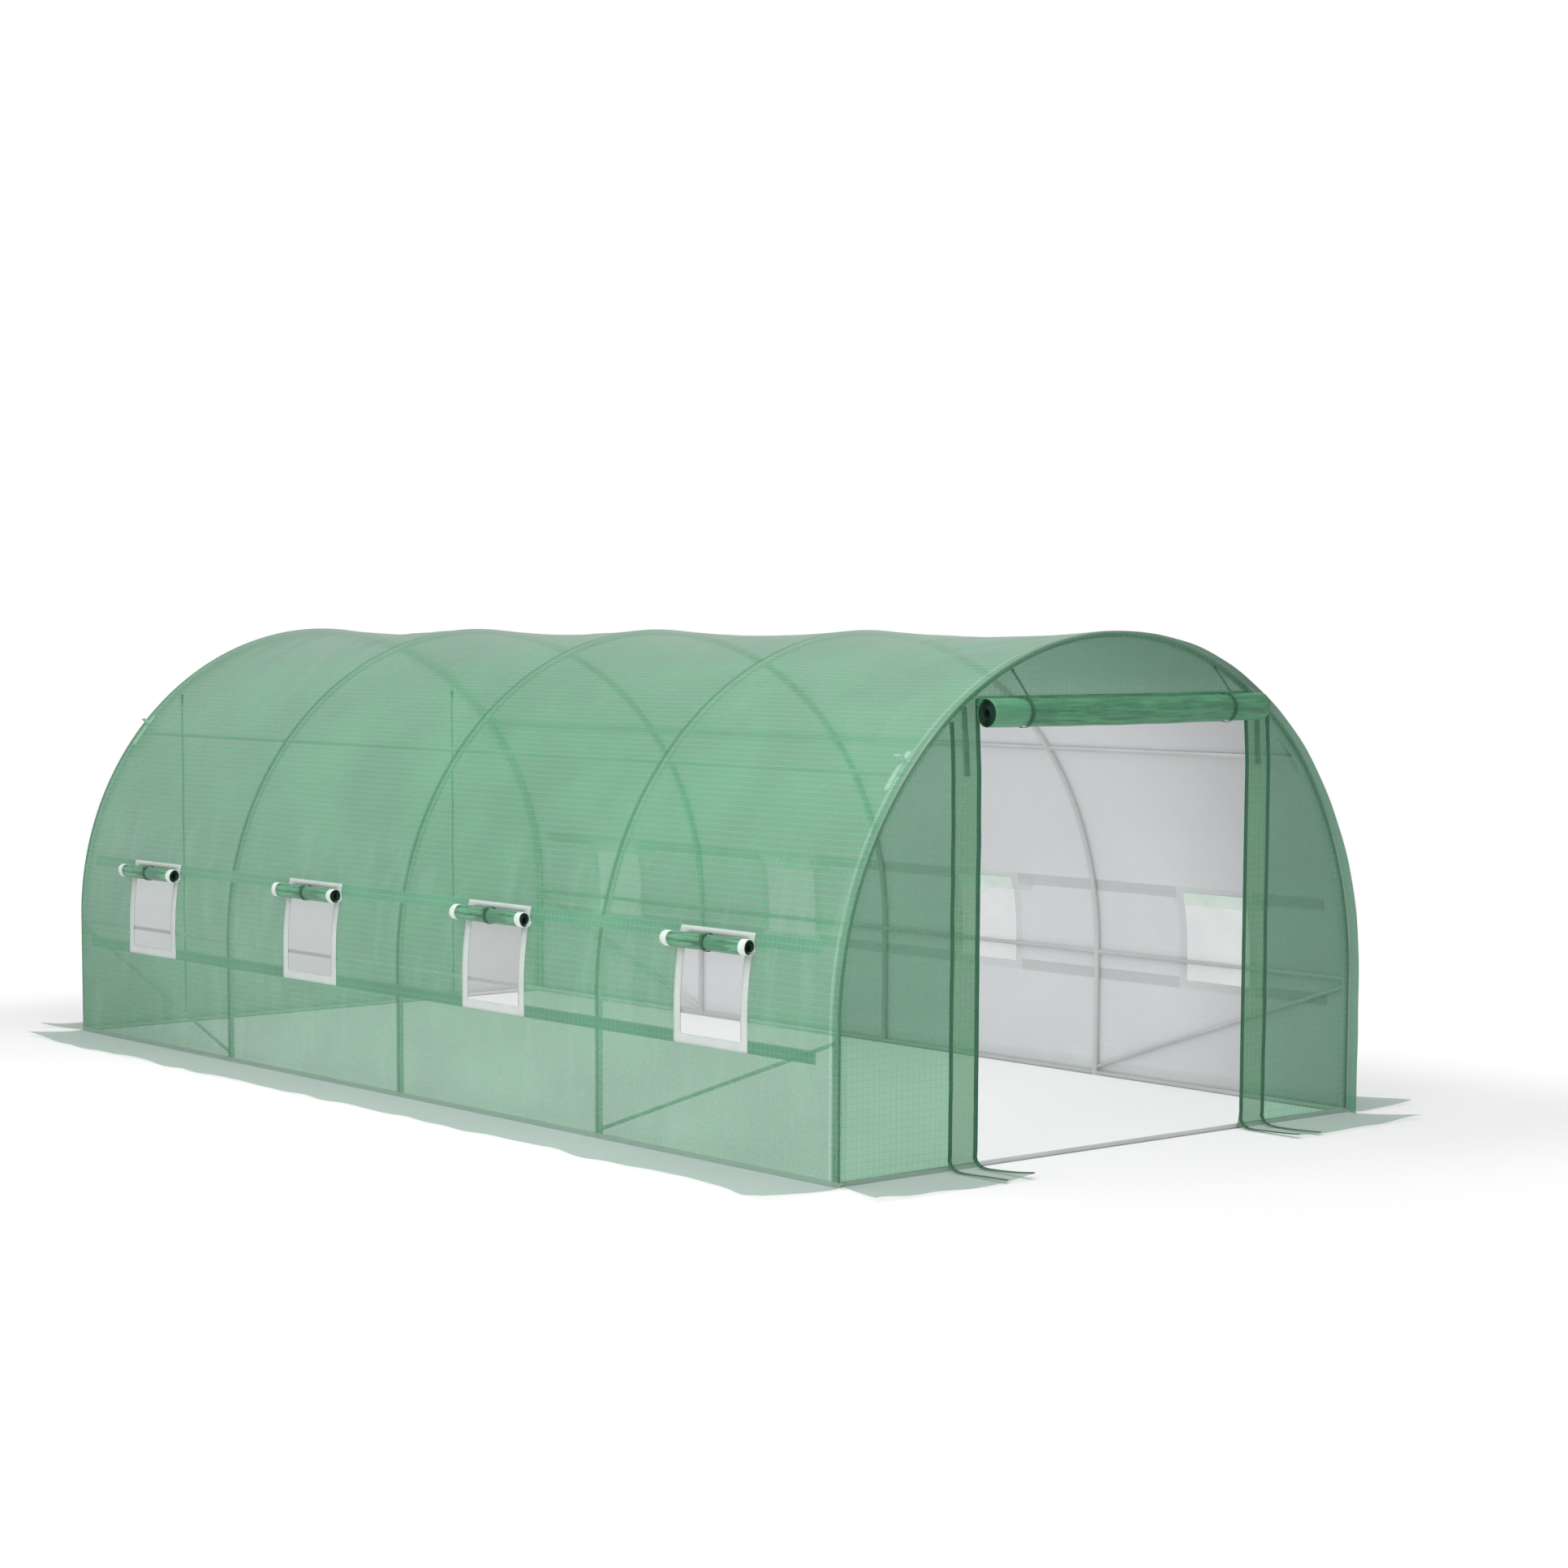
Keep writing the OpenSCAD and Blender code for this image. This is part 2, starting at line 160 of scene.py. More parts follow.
def ribbon(path, across, width, thick):
    """A closed flat strap along path. across is the direction of its width."""
    path = np.asarray(path, float)
    run = np.gradient(path, axis=0)
    run /= np.linalg.norm(run, axis=1)[:, None]
    across = np.tile(np.asarray(across, float), (len(path), 1))
    across = across - (across * run).sum(1)[:, None] * run
    across /= np.linalg.norm(across, axis=1)[:, None]
    normal = np.cross(across, run)
    along = np.concatenate([[0], np.cumsum(np.linalg.norm(np.diff(path, axis=0), axis=1))])
    w = np.linspace(-0.5, 0.5, STRAP_COLS)
    crown = 0.5 - STRAP_THIN * (2 * np.abs(w)) ** 4
    ring = [(a, c) for a, c in zip(w, crown)] + [(a, -c) for a, c in zip(w[::-1], crown[::-1])]
    n = len(ring)
    verts, uv, faces = [], [], []
    for i in range(len(path)):
        for a, c in ring:
            verts.append(path[i] + across[i] * a * width + normal[i] * c * thick)
            uv.append((a * width, along[i]))
    for i in range(len(path) - 1):
        for k in range(n):
            a, b = i * n + k, i * n + (k + 1) % n
            faces.append((a, b, b + n, a + n))
    faces.append(tuple(range(n))[::-1])
    faces.append(tuple(range((len(path) - 1) * n, len(path) * n)))
    return verts, faces, uv


def block(centre, size, axes=None):
    """A small box with cut corners, as (verts, faces, uv)."""
    c, h = np.asarray(centre, float), np.asarray(size, float) / 2
    axes = np.eye(3) if axes is None else np.asarray(axes, float)
    b = min(h) * 0.35
    ring = [(-h[0] + b, -h[1]), (h[0] - b, -h[1]), (h[0], -h[1] + b), (h[0], h[1] - b),
            (h[0] - b, h[1]), (-h[0] + b, h[1]), (-h[0], h[1] - b), (-h[0], -h[1] + b)]
    verts = [(x, y, z) for z in (-h[2], h[2]) for x, y in ring]
    faces = [(k, (k + 1) % 8, 8 + (k + 1) % 8, 8 + k) for k in range(8)]
    faces += [tuple(range(8))[::-1], tuple(range(8, 16))]
    return c + np.array(verts) @ axes, faces, np.array(verts)[:, :2]


def paint(ob, rule):
    """Gives each face the material index that rule names for its middle on the cloth."""
    uv = np.zeros(len(ob.data.loops) * 2, np.float32)
    ob.data.uv_layers["cloth"].data.foreach_get("uv", uv)
    uv = uv.reshape(-1, 2)
    for p in ob.data.polygons:
        u, v = uv[list(p.loop_indices)].mean(0)
        p.material_index = rule(u, v)


# Shape of the cloth
def s_of_z(z):
    """Arc length from the crown down to height z."""
    return QUARTER + LEG - z if z <= LEG else RADIUS * (math.pi / 2 - math.asin((z - LEG) / RADIUS))


def crease_set(n, spread_s, spread_y, length, width, depth, slant):
    """n creases over a part of a sheet, as (place, turn, length, width, depth) drawn from those ranges."""
    return [(rng.uniform(*spread_s), rng.uniform(*spread_y), math.radians(rng.uniform(*slant)),
             rng.uniform(*length), rng.uniform(*width), rng.uniform(*depth) * rng.choice([-1, 1]))
            for _ in range(n)]


def creased(u, v, creases):
    """Height of the creases at the places u, v of a sheet."""
    out = np.zeros_like(u)
    for u0, v0, turn, length, width, depth in creases:
        du, dv = u - u0, v - v0
        along = du * math.cos(turn) + dv * math.sin(turn)
        off = dv * math.cos(turn) - du * math.sin(turn)
        off = off + 0.06 * np.sin(along / length * 2.2)
        out += depth * np.exp(-(along / length) ** 2 - (off / width) ** 2)
    return out


ROOF_CREASES, WALL_CREASES = [], []
for slant in ((20, 70), (-70, -20)):
    ROOF_CREASES += crease_set(46, (-1.9, 1.9), (-2.8, 2.8), (0.16, 0.5), (0.03, 0.07),
                               (0.0012, 0.0034), slant)
# Deeper ones on the roof at the back.
ROOF_CREASES += crease_set(18, (-0.9, 0.3), (1.6, 2.85), (0.2, 0.5), (0.03, 0.06), (0.003, 0.006), (25, 60))
for wall in ((-2.9, -1.8), (1.8, 2.9)):
    WALL_CREASES += crease_set(60, wall, (-2.9, 2.9), (0.12, 0.4), (0.03, 0.06), (0.001, 0.0022), (-20, 20))

# How deep the cover dips half way between two hoops: depth, arc length from the crown, and spread.
DIPS = ((0.026, 0.0, 0.66), (0.0055, 1.85, 0.3), (0.0025, 2.68, 0.12))
DIP_EVERYWHERE = 0.0012
# The foot of the cover is held down over this height.
HELD_H = 0.10


def film_depth(s, y):
    """How far the cover lies inside its radius: it dips between the hoops and creases a little."""
    t = ((y - HOOP_Y[0]) / (HOOP_Y[1] - HOOP_Y[0])) % 1.0 * 2 - 1
    t = np.where((y < HOOP_Y[0]) | (y > HOOP_Y[-1]), 1.0, t)
    belly = 1 - t ** 2
    away = np.abs(s)
    amount = sum(depth * np.exp(-((away - at) / spread) ** 2) for depth, at, spread in DIPS) + DIP_EVERYWHERE
    held = np.clip((HALF - away) / HELD_H, 0, 1)
    fold = creased(s, y, ROOF_CREASES) + creased(s, y, WALL_CREASES)
    return (amount * belly - fold * np.clip(belly * 2.5, 0, 1) * 0.9) * held


def film(s, y, out=0.0):
    """Points of the cover at arc length s from the crown and at y, moved out along its normal."""
    s, y = np.broadcast_arrays(np.asarray(s, float), np.asarray(y, float))
    a = np.clip(s / RADIUS, -math.pi / 2, math.pi / 2)
    leg = np.clip(np.abs(s) - QUARTER, 0, None)
    # Past the back hoop the edge turns in, and ahead of the front sheet it waves.
    past = np.clip((y - HOOP_Y[-1]) / (END - HOOP_Y[-1]), 0, 1)
    ahead = np.clip((HOOP_Y[0] - 0.017 - y) / (END + HOOP_Y[0] - 0.017), 0, 1)
    wave = 1 + 0.5 * np.sin(s * 9.0) + 0.3 * np.sin(s * 23.0 + 1)
    turned_in = 0.007 * (1 - np.sqrt(1 - 0.96 * past ** 2))
    r = FILM_R - film_depth(s, y) - turned_in - 0.0028 * ahead ** 2 * wave + out
    return np.stack([r * np.sin(a), y, LEG + r * np.cos(a) - leg], -1)


FRONT_CREASES = []
for panel in ((-1.45, -0.8), (0.8, 1.45)):
    FRONT_CREASES += crease_set(26, panel, (0.1, 1.7), (0.1, 0.4), (0.03, 0.06), (0.001, 0.003), (50, 130))
FRONT_CREASES += crease_set(12, (-0.8, 0.8), (1.87, 2.05), (0.1, 0.3), (0.03, 0.05),
                            (0.001, 0.002), (-25, 25))
BACK_CREASES = crease_set(70, (-1.4, 1.4), (0.1, 1.95), (0.12, 0.5), (0.03, 0.07), (0.001, 0.004), (30, 150))
# The end sheets lie this far inside the face of the cover, and the front one bellies out this far.
END_INSET, FRONT_BELLY = 0.0015, 0.014


def sheet_slack(x, z):
    """How freely an end sheet may move: not at its rim or its foot."""
    return np.clip((1.49 - np.hypot(x, np.clip(z - LEG, 0, None))) / 0.12, 0, 1) * np.clip(z / 0.1, 0, 1)


def front_y(x, z):
    """The front sheet bellies a little towards its doorway."""
    belly = np.clip((1.40 - np.abs(x)) / 0.40, 0, 1) * np.clip((1.80 - z) / 0.25, 0, 1)
    belly = belly * np.clip(z / 0.06, 0, 1)
    return FACE + END_INSET - FRONT_BELLY * belly + creased(x, z, FRONT_CREASES) * sheet_slack(x, z)


def back_y(x, z):
    """The back sheet is flat apart from its creases."""
    return END - END_INSET + creased(x, z, BACK_CREASES) * sheet_slack(x, z)


# Materials
class Graph:
    """The nodes of a material, or of a world, made one call at a time."""

    def __init__(self, name, kind="Material"):
        self.owner = getattr(bpy.data, kind.lower() + "s").new(name)
        self.owner.use_nodes = True
        self.tree = self.owner.node_tree
        self.tree.nodes.clear()
        self.out = self.tree.nodes.new("ShaderNodeOutput" + kind)

    def put(self, socket, value):
        if isinstance(value, bpy.types.NodeSocket):
            self.tree.links.new(value, socket)
        elif isinstance(value, (tuple, list)) and len(value) == 3 and len(socket.default_value) == 4:
            socket.default_value = (*value, 1)
        else:
            socket.default_value = value

    def node(self, kind, settings=None, **inputs):
        """A shader node. An input is named, or i0, i1 and so on for its number."""
        n = self.tree.nodes.new("ShaderNode" + kind)
        for key, value in (settings or {}).items():
            setattr(n, key, value)
        for key, value in inputs.items():
            by_number = key[0] == "i" and key[1:].isdigit()
            self.put(n.inputs[int(key[1:]) if by_number else key.replace("_", " ")], value)
        return n

    def bsdf(self, kind, **inputs):
        return self.node("Bsdf" + kind, **inputs).outputs[0]

    def math(self, op, a, b=0.0, c=0.0):
        return self.node("Math", {"operation": op}, i0=a, i1=b, i2=c).outputs[0]

    def times(self, a, b):
        return self.math("MULTIPLY", a, b)

    def most(self, a, b):
        return self.math("MAXIMUM", a, b)

    def mix(self, fac, a, b):
        n = self.node("Mix", {"data_type": "RGBA"}, i0=fac)
        self.put(n.inputs[6], a)
        self.put(n.inputs[7], b)
        return n.outputs[2]

    def shader(self, fac, a, b):
        return self.node("MixShader", i0=fac, i1=a, i2=b).outputs[0]

    def uv(self):
        n = self.node("UVMap", {"uv_map": "cloth"})
        split = self.node("SeparateXYZ", i0=n.outputs[0])
        return n.outputs[0], split.outputs[0], split.outputs[1]

    def place(self):
        return self.node("TexCoord").outputs["Object"]

    def noise(self, where, scale, detail):
        return self.node("TexNoise", Vector=where, Scale=scale, Detail=detail, Roughness=0.55).outputs["Fac"]

    def ramp(self, fac, low, high, to_low=0.0, to_high=1.0):
        return self.node("MapRange", {"interpolation_type": "SMOOTHSTEP"},
                         i0=fac, i1=low, i2=high, i3=to_low, i4=to_high).outputs[0]

    def threads(self, coord, pitch, width):
        """1 on threads of that width, one each pitch, and 0 between them."""
        return self.ramp(self.math("PINGPONG", coord, pitch / 2), width * 0.35, width * 0.65, 1.0, 0.0)

    def bump(self, height, distance, strength):
        return self.node("Bump", Height=height, Distance=distance, Strength=strength).outputs[0]

    def surface(self, shader):
        self.tree.links.new(shader, self.out.inputs[0])
        return self.owner


def scaled(colour, k, add=0.0):
    """A colour times k, plus add."""
    return tuple(min(1.0, c * k + add) for c in colour)


# Pitch and width of the weave, and of its thicker threads.
WEAVE, THREAD = 0.0095, 0.0022
BOLD_WEAVE, BOLD_THREAD = 3 * WEAVE, 2.2 * THREAD
# Colour of the painted shade on a film, as where it lies on a tube, with its share there, and of the painted
# light in the folds of the walls.
PAINTED_SHADE, PAINTED_SHADE_SHARE, FOLD_LIGHT = (0.025, 0.15, 0.075), 0.54, (0.50, 0.72, 0.60)
# The walls begin here, as arc lengths from the crown.
WALL_FROM, WALL_TO = 1.6, 2.0
# What lamps and bounced light meet: much more goes through than the eye sees go through.
LIT_TINT, LIT_BODY, LIT_SHARE = (0.93, 0.95, 0.94), (0.70, 0.76, 0.73), 0.16


def film_material(name, tint, body, share, thread_share, inside, inside_share, cross=1.0,
                  shade_mask=None, inner_shade=None, sheen=0.55, fold_light=0.0):
    """Woven see-through sheet: tint is what it lets through, body its own colour, inside its inner face.

    share, thread_share and inside_share say how much of its own colour shows, between the threads, on
    them and from inside. Every third thread of the weave is thicker, which gives the sheet its visible
    squares. cross is the strength of the threads that run round the tunnel. The next argument gives
    painted shade that darkens the sheet, as where it lies on a tube, and the one after it painted shade
    on the inner face, as its brightness. sheen is how much of its edge-on shine shows, and the last
    argument the strength of pale upright streaks painted into the walls, a painted light on their folds.
    """
    g = Graph(name)
    where, u, v = g.uv()
    fine_grid = g.most(g.threads(u, WEAVE, THREAD), g.threads(v, WEAVE, THREAD))
    bold_cross = g.times(g.threads(v, BOLD_WEAVE, BOLD_THREAD), cross)
    bold_grid = g.most(g.threads(u, BOLD_WEAVE, BOLD_THREAD), bold_cross)
    grid = g.most(g.times(fine_grid, 0.4), bold_grid)
    cloud = g.noise(where, 1.7, 4.0)
    bump = g.bump(g.math("MULTIPLY_ADD", g.noise(where, 23.0, 3.0), 0.35, grid), 0.0012, 0.35)
    colour = g.mix(g.ramp(cloud, 0.35, 0.7), scaled(body, 0.88), scaled(body, 1.10))
    colour = g.mix(g.times(grid, 0.6), colour, scaled(body, 1.15, 0.06))
    own = g.bsdf("Principled", Base_Color=colour, Roughness=0.42, Specular_IOR_Level=0.35, Normal=bump)
    through = g.bsdf("Transparent", Color=g.mix(g.ramp(cloud, 0.3, 0.75), scaled(tint, 0.95), tint))
    own_share = g.math("MULTIPLY_ADD", grid, thread_share - share, share)
    front = g.shader(own_share, through, own)
    # Painted shade: the mask darkens the sheet, as where it lies on a tube.
    if shade_mask:
        dark = g.times(shade_mask(g, u, v), PAINTED_SHADE_SHARE)
        front = g.shader(dark, front, g.bsdf("Diffuse", Color=PAINTED_SHADE))
    # Painted light: pale upright streaks in the walls stand in for the light on their folds.
    if fold_light:
        run = g.node("CombineXYZ", i0=g.times(u, 2.4), i1=g.times(v, 9.0)).outputs[0]
        on_wall = g.ramp(g.math("ABSOLUTE", u), WALL_FROM, WALL_TO)
        fold = g.times(g.ramp(g.noise(run, 1.0, 4.0), 0.46, 0.70), on_wall)
        front = g.shader(g.times(fold, fold_light), front, g.bsdf("Diffuse", Color=FOLD_LIGHT))
    shine = g.bsdf("Glossy", Color=(1, 1, 1), Roughness=0.30, Normal=bump)
    edge = g.node("Fresnel", IOR=1.38, Normal=bump)
    front = g.shader(g.times(edge.outputs[0], sheen), front, shine)
    pale = g.mix(g.ramp(cloud, 0.3, 0.75), scaled(inside, 0.95), inside)
    pale = g.mix(g.times(grid, 0.35), pale, scaled(inside, 0.92))
    # Painted shade on the inner face, where the mask lowers its brightness.
    if inner_shade:
        pale = g.mix(inner_shade(g, u, v), (0, 0, 0), pale)
    back_own = g.bsdf("Principled", Base_Color=pale, Roughness=0.55, Normal=bump)
    back = g.shader(inside_share, g.bsdf("Transparent", Color=tint), back_own)
    seen = g.shader(g.node("NewGeometry").outputs["Backfacing"], front, back)
    lit = g.shader(LIT_SHARE, g.bsdf("Transparent", Color=LIT_TINT), g.bsdf("Diffuse", Color=LIT_BODY))
    path = g.node("LightPath")
    lamp = g.most(path.outputs["Is Shadow Ray"], path.outputs["Is Diffuse Ray"])
    return g.surface(g.shader(lamp, seen, lit))


def cloth_material(name, colour, pitch, thread, rough, spec, vary=0.12, sheen=0.15, pale_to=None, fold_shade_and_highlight=0.0):
    """Dense cloth with a plain weave, paler up to the length pale_to of it where that is given.

    The last argument is the strength of the painted shade and painted highlights in streaks along the folds of
    a rolled sheet.
    """
    g = Graph(name)
    _, u, v = g.uv()
    warp, weft = g.math("PINGPONG", u, pitch / 2), g.math("PINGPONG", v, pitch / 2)
    height = g.most(g.ramp(warp, 0.0, thread, 1.0, 0.0), g.ramp(weft, 0.0, thread, 1.0, 0.0))
    cloud = g.noise(g.place(), 14.0, 4.0)
    base = g.mix(g.ramp(cloud, 0.3, 0.7), scaled(colour, 1 - vary), scaled(colour, 1 + vary))
    base = g.mix(g.times(height, 0.4), base, scaled(colour, 1.3, 0.01))
    if fold_shade_and_highlight:
        # Painted shade and painted highlights, in dark and pale streaks along the roll.
        for drift, shade, lift in ((0.0, 0.35, 0.0), (9.0, 1.75, 0.03)):
            along, round_it = g.times(u, 5.0), g.math("MULTIPLY_ADD", v, 62.0, drift)
            run = g.node("CombineXYZ", i0=along, i1=round_it).outputs[0]
            fold = g.ramp(g.noise(run, 1.0, 3.0), 0.46, 0.62)
            base = g.mix(g.times(fold, fold_shade_and_highlight), base, scaled(colour, shade, lift))
    if pale_to:
        base = g.mix(g.ramp(u, pale_to - 0.02, pale_to, 0.45, 0.0), base, scaled(colour, 1.6, 0.02))
    bump = g.bump(height, pitch * 0.12, 0.7)
    return g.surface(g.bsdf("Principled", Base_Color=base, Roughness=rough, Specular_IOR_Level=spec,
                            Sheen_Weight=sheen, Normal=bump))


def painted_hoop_shade(g, u, v):
    """Painted shade where the cover lies on a hoop at each bay's end, less dark on the front hoop's arch.

    Low down in the last bay a painted shade darkens it too.
    """
    off = g.math("PINGPONG", g.math("SUBTRACT", v, HOOP_Y[0]), (HOOP_Y[1] - HOOP_Y[0]) / 2)
    away = g.math("ABSOLUTE", u)
    behind_front = g.ramp(v, HOOP_Y[0] + 0.02, HOOP_Y[0] + 0.04, 0.43, 1.0)
    keep = g.most(behind_front, g.ramp(away, QUARTER - 0.1, QUARTER + 0.1))
    low = g.times(g.ramp(v, 1.2, 2.7), g.ramp(away, 1.9, 2.8))
    at_hoop = g.times(g.ramp(off, 0.009, 0.017, 0.85, 0.0), keep)
    return g.most(at_hoop, g.times(low, 0.48))


# Radius of the line along which an end sheet lies on its hoop.
HOOP_LINE = 1.482


def painted_end_hoop_shade(g, u, v):
    """Painted shade where an end sheet lies on its hoop along the arch."""
    rise = g.most(g.math("SUBTRACT", v, LEG), 0.0)
    from_middle = g.math("SQRT", g.math("ADD", g.times(u, u), g.times(rise, rise)))
    return g.ramp(g.math("ABSOLUTE", g.math("SUBTRACT", from_middle, HOOP_LINE)), 0.004, 0.012, 0.55, 0.0)


def painted_front_hoop_shade(g, u, v):
    """Painted shade along the hoop as on an end sheet, with the front sheet painted a little darker half way up
    and over the doorway, as shade.
    """
    middle = g.times(g.ramp(v, 0.50, 0.68), g.ramp(v, 1.0, 1.5, 0.24, 0.0))
    over_door = g.ramp(v, 1.86, 1.94, 0.0, 0.22)
    return g.most(painted_end_hoop_shade(g, u, v), g.most(middle, over_door))


def shade_by_door(g, u, v):
    """Brightness of the cover's inner face, which a painted shade lowers behind the front sheet."""
    return g.ramp(v, -2.75, -1.75, 0.70, 1.0)


def shade_low_down(g, u, v):
    """Brightness of the back sheet's inner face, which a painted shade lowers near the ground."""
    return g.ramp(v, 0.0, 1.1, 0.86, 1.0)


def shade_by_the_wall(g, u, v):
    """A ground flap is darker beside the wall, a painted shade."""
    return g.ramp(v, 0.06, 0.30, 0.28, 0.0)


# Colours of the films: let through, own and inner face.
TINT, BODY, INSIDE = (0.66, 0.575, 0.66), (0.015, 0.475, 0.146), (0.715, 0.738, 0.745)
END_TINT, END_BODY = (0.475, 0.515, 0.50), (0.010, 0.475, 0.115)
PANEL_TINT, STRIP_TINT = (0.385, 0.59, 0.467), (0.41, 0.46, 0.43)
# The last of these colours is that of the painted highlight behind the front hoop.
HEM_TINT, HEM_INSIDE, HIGHLIGHT_BODY = (0.97, 0.98, 0.97), (0.115, 0.30, 0.195), (0.17, 0.64, 0.31)
FLAP_TINT, FLAP_BODY, FLAP_INSIDE = (0.50, 0.58, 0.54), (0.40, 0.56, 0.48), (0.5, 0.62, 0.56)
BAND_INSIDE = (0.6, 0.66, 0.62)
# The cover's threads round the tunnel are fainter than those along it.
FAINT = 0.35
cover_film = film_material("woven_cover", TINT, BODY, 0.40, 0.58, INSIDE, 0.86, FAINT,
                           shade_mask=painted_hoop_shade, inner_shade=shade_by_door, fold_light=0.08)
# Where a band doubles the cover its inner face is painted darker, a painted shade for the light the doubled
# sheet holds back.
doubled_film = film_material("woven_cover_doubled", TINT, BODY, 0.40, 0.58, scaled(INSIDE, 0.84), 0.90, FAINT,
                             shade_mask=painted_hoop_shade, inner_shade=shade_by_door)
hem_film = film_material("woven_cover_hem", HEM_TINT, BODY, 0.02, 0.08, HEM_INSIDE, 0.93, FAINT, sheen=0.08)
# A painted highlight on the cover just behind the front hoop.
highlight_film = film_material("woven_cover_highlight", TINT, HIGHLIGHT_BODY, 0.42, 0.52, INSIDE, 0.86, FAINT,
                          inner_shade=shade_by_door)
end_film = film_material("woven_end_sheet", PANEL_TINT, END_BODY, 0.05, 0.24, INSIDE, 0.86,
                         shade_mask=painted_front_hoop_shade)
strip_film = film_material("woven_door_strip", STRIP_TINT, END_BODY, 0.33, 0.43, INSIDE, 0.86,
                           shade_mask=painted_end_hoop_shade)
back_film = film_material("woven_back_sheet", END_TINT, END_BODY, 0.33, 0.43, INSIDE, 0.92,
                          shade_mask=painted_end_hoop_shade, inner_shade=shade_low_down)
flap_film = film_material("woven_flap", FLAP_TINT, FLAP_BODY, 0.12, 0.34, FLAP_INSIDE, 0.4, shade_mask=shade_by_the_wall)
# Behind the third window the upper band is closer to the wall's colour. The lower band is darker.
band_film, far_band_film, low_band_film = (
    film_material(name, TINT, body, 0.84, 0.90, BAND_INSIDE, 0.8)
    for name, body in (("doubled_band", (0.13, 0.375, 0.225)), ("doubled_far_band", (0.155, 0.38, 0.24)),
                       ("doubled_low_band", (0.075, 0.285, 0.155))))

# Pitch and thread of the dense cloths.
SHEET_CLOTH, WEB, HOOKS, TAPE, TEETH = (
    (0.006, 0.0012), (0.0022, 0.0007), (0.0016, 0.0006), (0.0018, 0.0006), (0.0030, 0.0010))
rolled = cloth_material("rolled_blind", (0.054, 0.215, 0.110), *SHEET_CLOTH, rough=0.38, spec=0.5, fold_shade_and_highlight=0.9)
rolled_door = cloth_material("rolled_door_sheet", (0.064, 0.245, 0.125), *SHEET_CLOTH, rough=0.42, spec=0.4,
                             sheen=0.05, pale_to=0.195, fold_shade_and_highlight=0.35)
webbing = cloth_material("webbing", (0.030, 0.125, 0.072), *WEB, rough=0.7, spec=0.25)
strap_web = cloth_material("strap_webbing", (0.070, 0.215, 0.130), *WEB, rough=0.7, spec=0.25)
# Painted shade: a dark copy of the rolled cloth for the turns inside a roll, which lie in its shade.
shaded_inner_turns = cloth_material("shaded_inner_turns", (0.012, 0.046, 0.028), *SHEET_CLOTH, rough=0.6, spec=0.2, sheen=0.0)
hook_tape = cloth_material("hook_tape", (0.66, 0.74, 0.69), *HOOKS, rough=0.8, spec=0.2, vary=0.05, sheen=0.1)
zip_tape = cloth_material("zip_tape", (0.027, 0.140, 0.072), *TAPE, rough=0.65, spec=0.3)
zip_teeth = cloth_material("zip_teeth", (0.012, 0.062, 0.036), *TEETH, rough=0.4, spec=0.5, sheen=0.0)
back_zip_teeth = cloth_material("back_zip_teeth", (0.44, 0.55, 0.49), *TEETH, rough=0.5, spec=0.4, sheen=0.0)


def steel_material(name, colour):
    """Powder-coated tube with faint mottling and specks."""
    g = Graph(name)
    where = g.place()
    cloud, speck = g.noise(where, 3.1, 5.0), g.noise(where, 160.0, 2.0)
    base = g.mix(g.ramp(cloud, 0.35, 0.7), scaled(colour, 0.9), colour)
    base = g.mix(g.ramp(speck, 0.62, 0.72), base, scaled(colour, 0.82))
    return g.surface(g.bsdf("Principled", Base_Color=base, Roughness=g.ramp(cloud, 0.3, 0.75, 0.34, 0.5),
                            Specular_IOR_Level=0.5, Normal=g.bump(speck, 0.0003, 0.25)))


def border_material():
    """White woven border of a window, a little see-through."""
    g = Graph("window_border")
    where, u, v = g.uv()
    grid = g.most(g.threads(u, 0.004, 0.0012), g.threads(v, 0.004, 0.0012))
    base = g.mix(g.ramp(g.noise(where, 9.0, 3.0), 0.3, 0.7), (0.66, 0.72, 0.69), (0.74, 0.79, 0.76))
    base = g.mix(g.times(grid, 0.5), base, (0.82, 0.86, 0.84))
    n = g.bsdf("Principled", Base_Color=base, Roughness=0.5, Normal=g.bump(grid, 0.0006, 0.5))
    t = g.bsdf("Transparent", Color=(0.86, 0.95, 0.90))
    return g.surface(g.shader(0.82, t, n))


def screen_material():
    """Fine mesh that is a light haze from outside and pale from inside, where the day shines on it."""
    g = Graph("insect_screen")
    where, u, v = g.uv()
    grid = g.most(g.threads(u, 0.0022, 0.0010), g.threads(v, 0.0022, 0.0010))
    base = g.mix(g.ramp(g.noise(where, 6.0, 3.0), 0.3, 0.7), (0.60, 0.61, 0.63), (0.68, 0.69, 0.70))
    side = g.node("NewGeometry").outputs["Backfacing"]
    n = g.bsdf("Principled", Base_Color=g.mix(side, (0.90, 0.91, 0.92), base), Roughness=0.6)
    t = g.bsdf("Transparent", Color=(0.995, 0.995, 0.995))
    share = g.times(grid, g.math("MULTIPLY_ADD", side, 0.72, 0.22))
    return g.surface(g.shader(share, t, n))


def loop_material():
    """Ribbed webbing of the guy loops, which the day shines through."""
    g = Graph("guy_loop_tab")
    where = g.place()
    rib = g.math("PINGPONG", g.node("SeparateXYZ", i0=where).outputs[1], 0.0015)
    base = g.mix(g.ramp(g.noise(where, 60.0, 3.0), 0.3, 0.7), (0.44, 0.72, 0.56), (0.53, 0.80, 0.64))
    ribbed = g.bump(g.ramp(rib, 0.0, 0.0012), 0.0006, 0.6)
    n = g.bsdf("Principled", Base_Color=base, Roughness=0.6, Normal=ribbed)
    t = g.bsdf("Translucent", Color=base)
    return g.surface(g.shader(0.4, n, t))


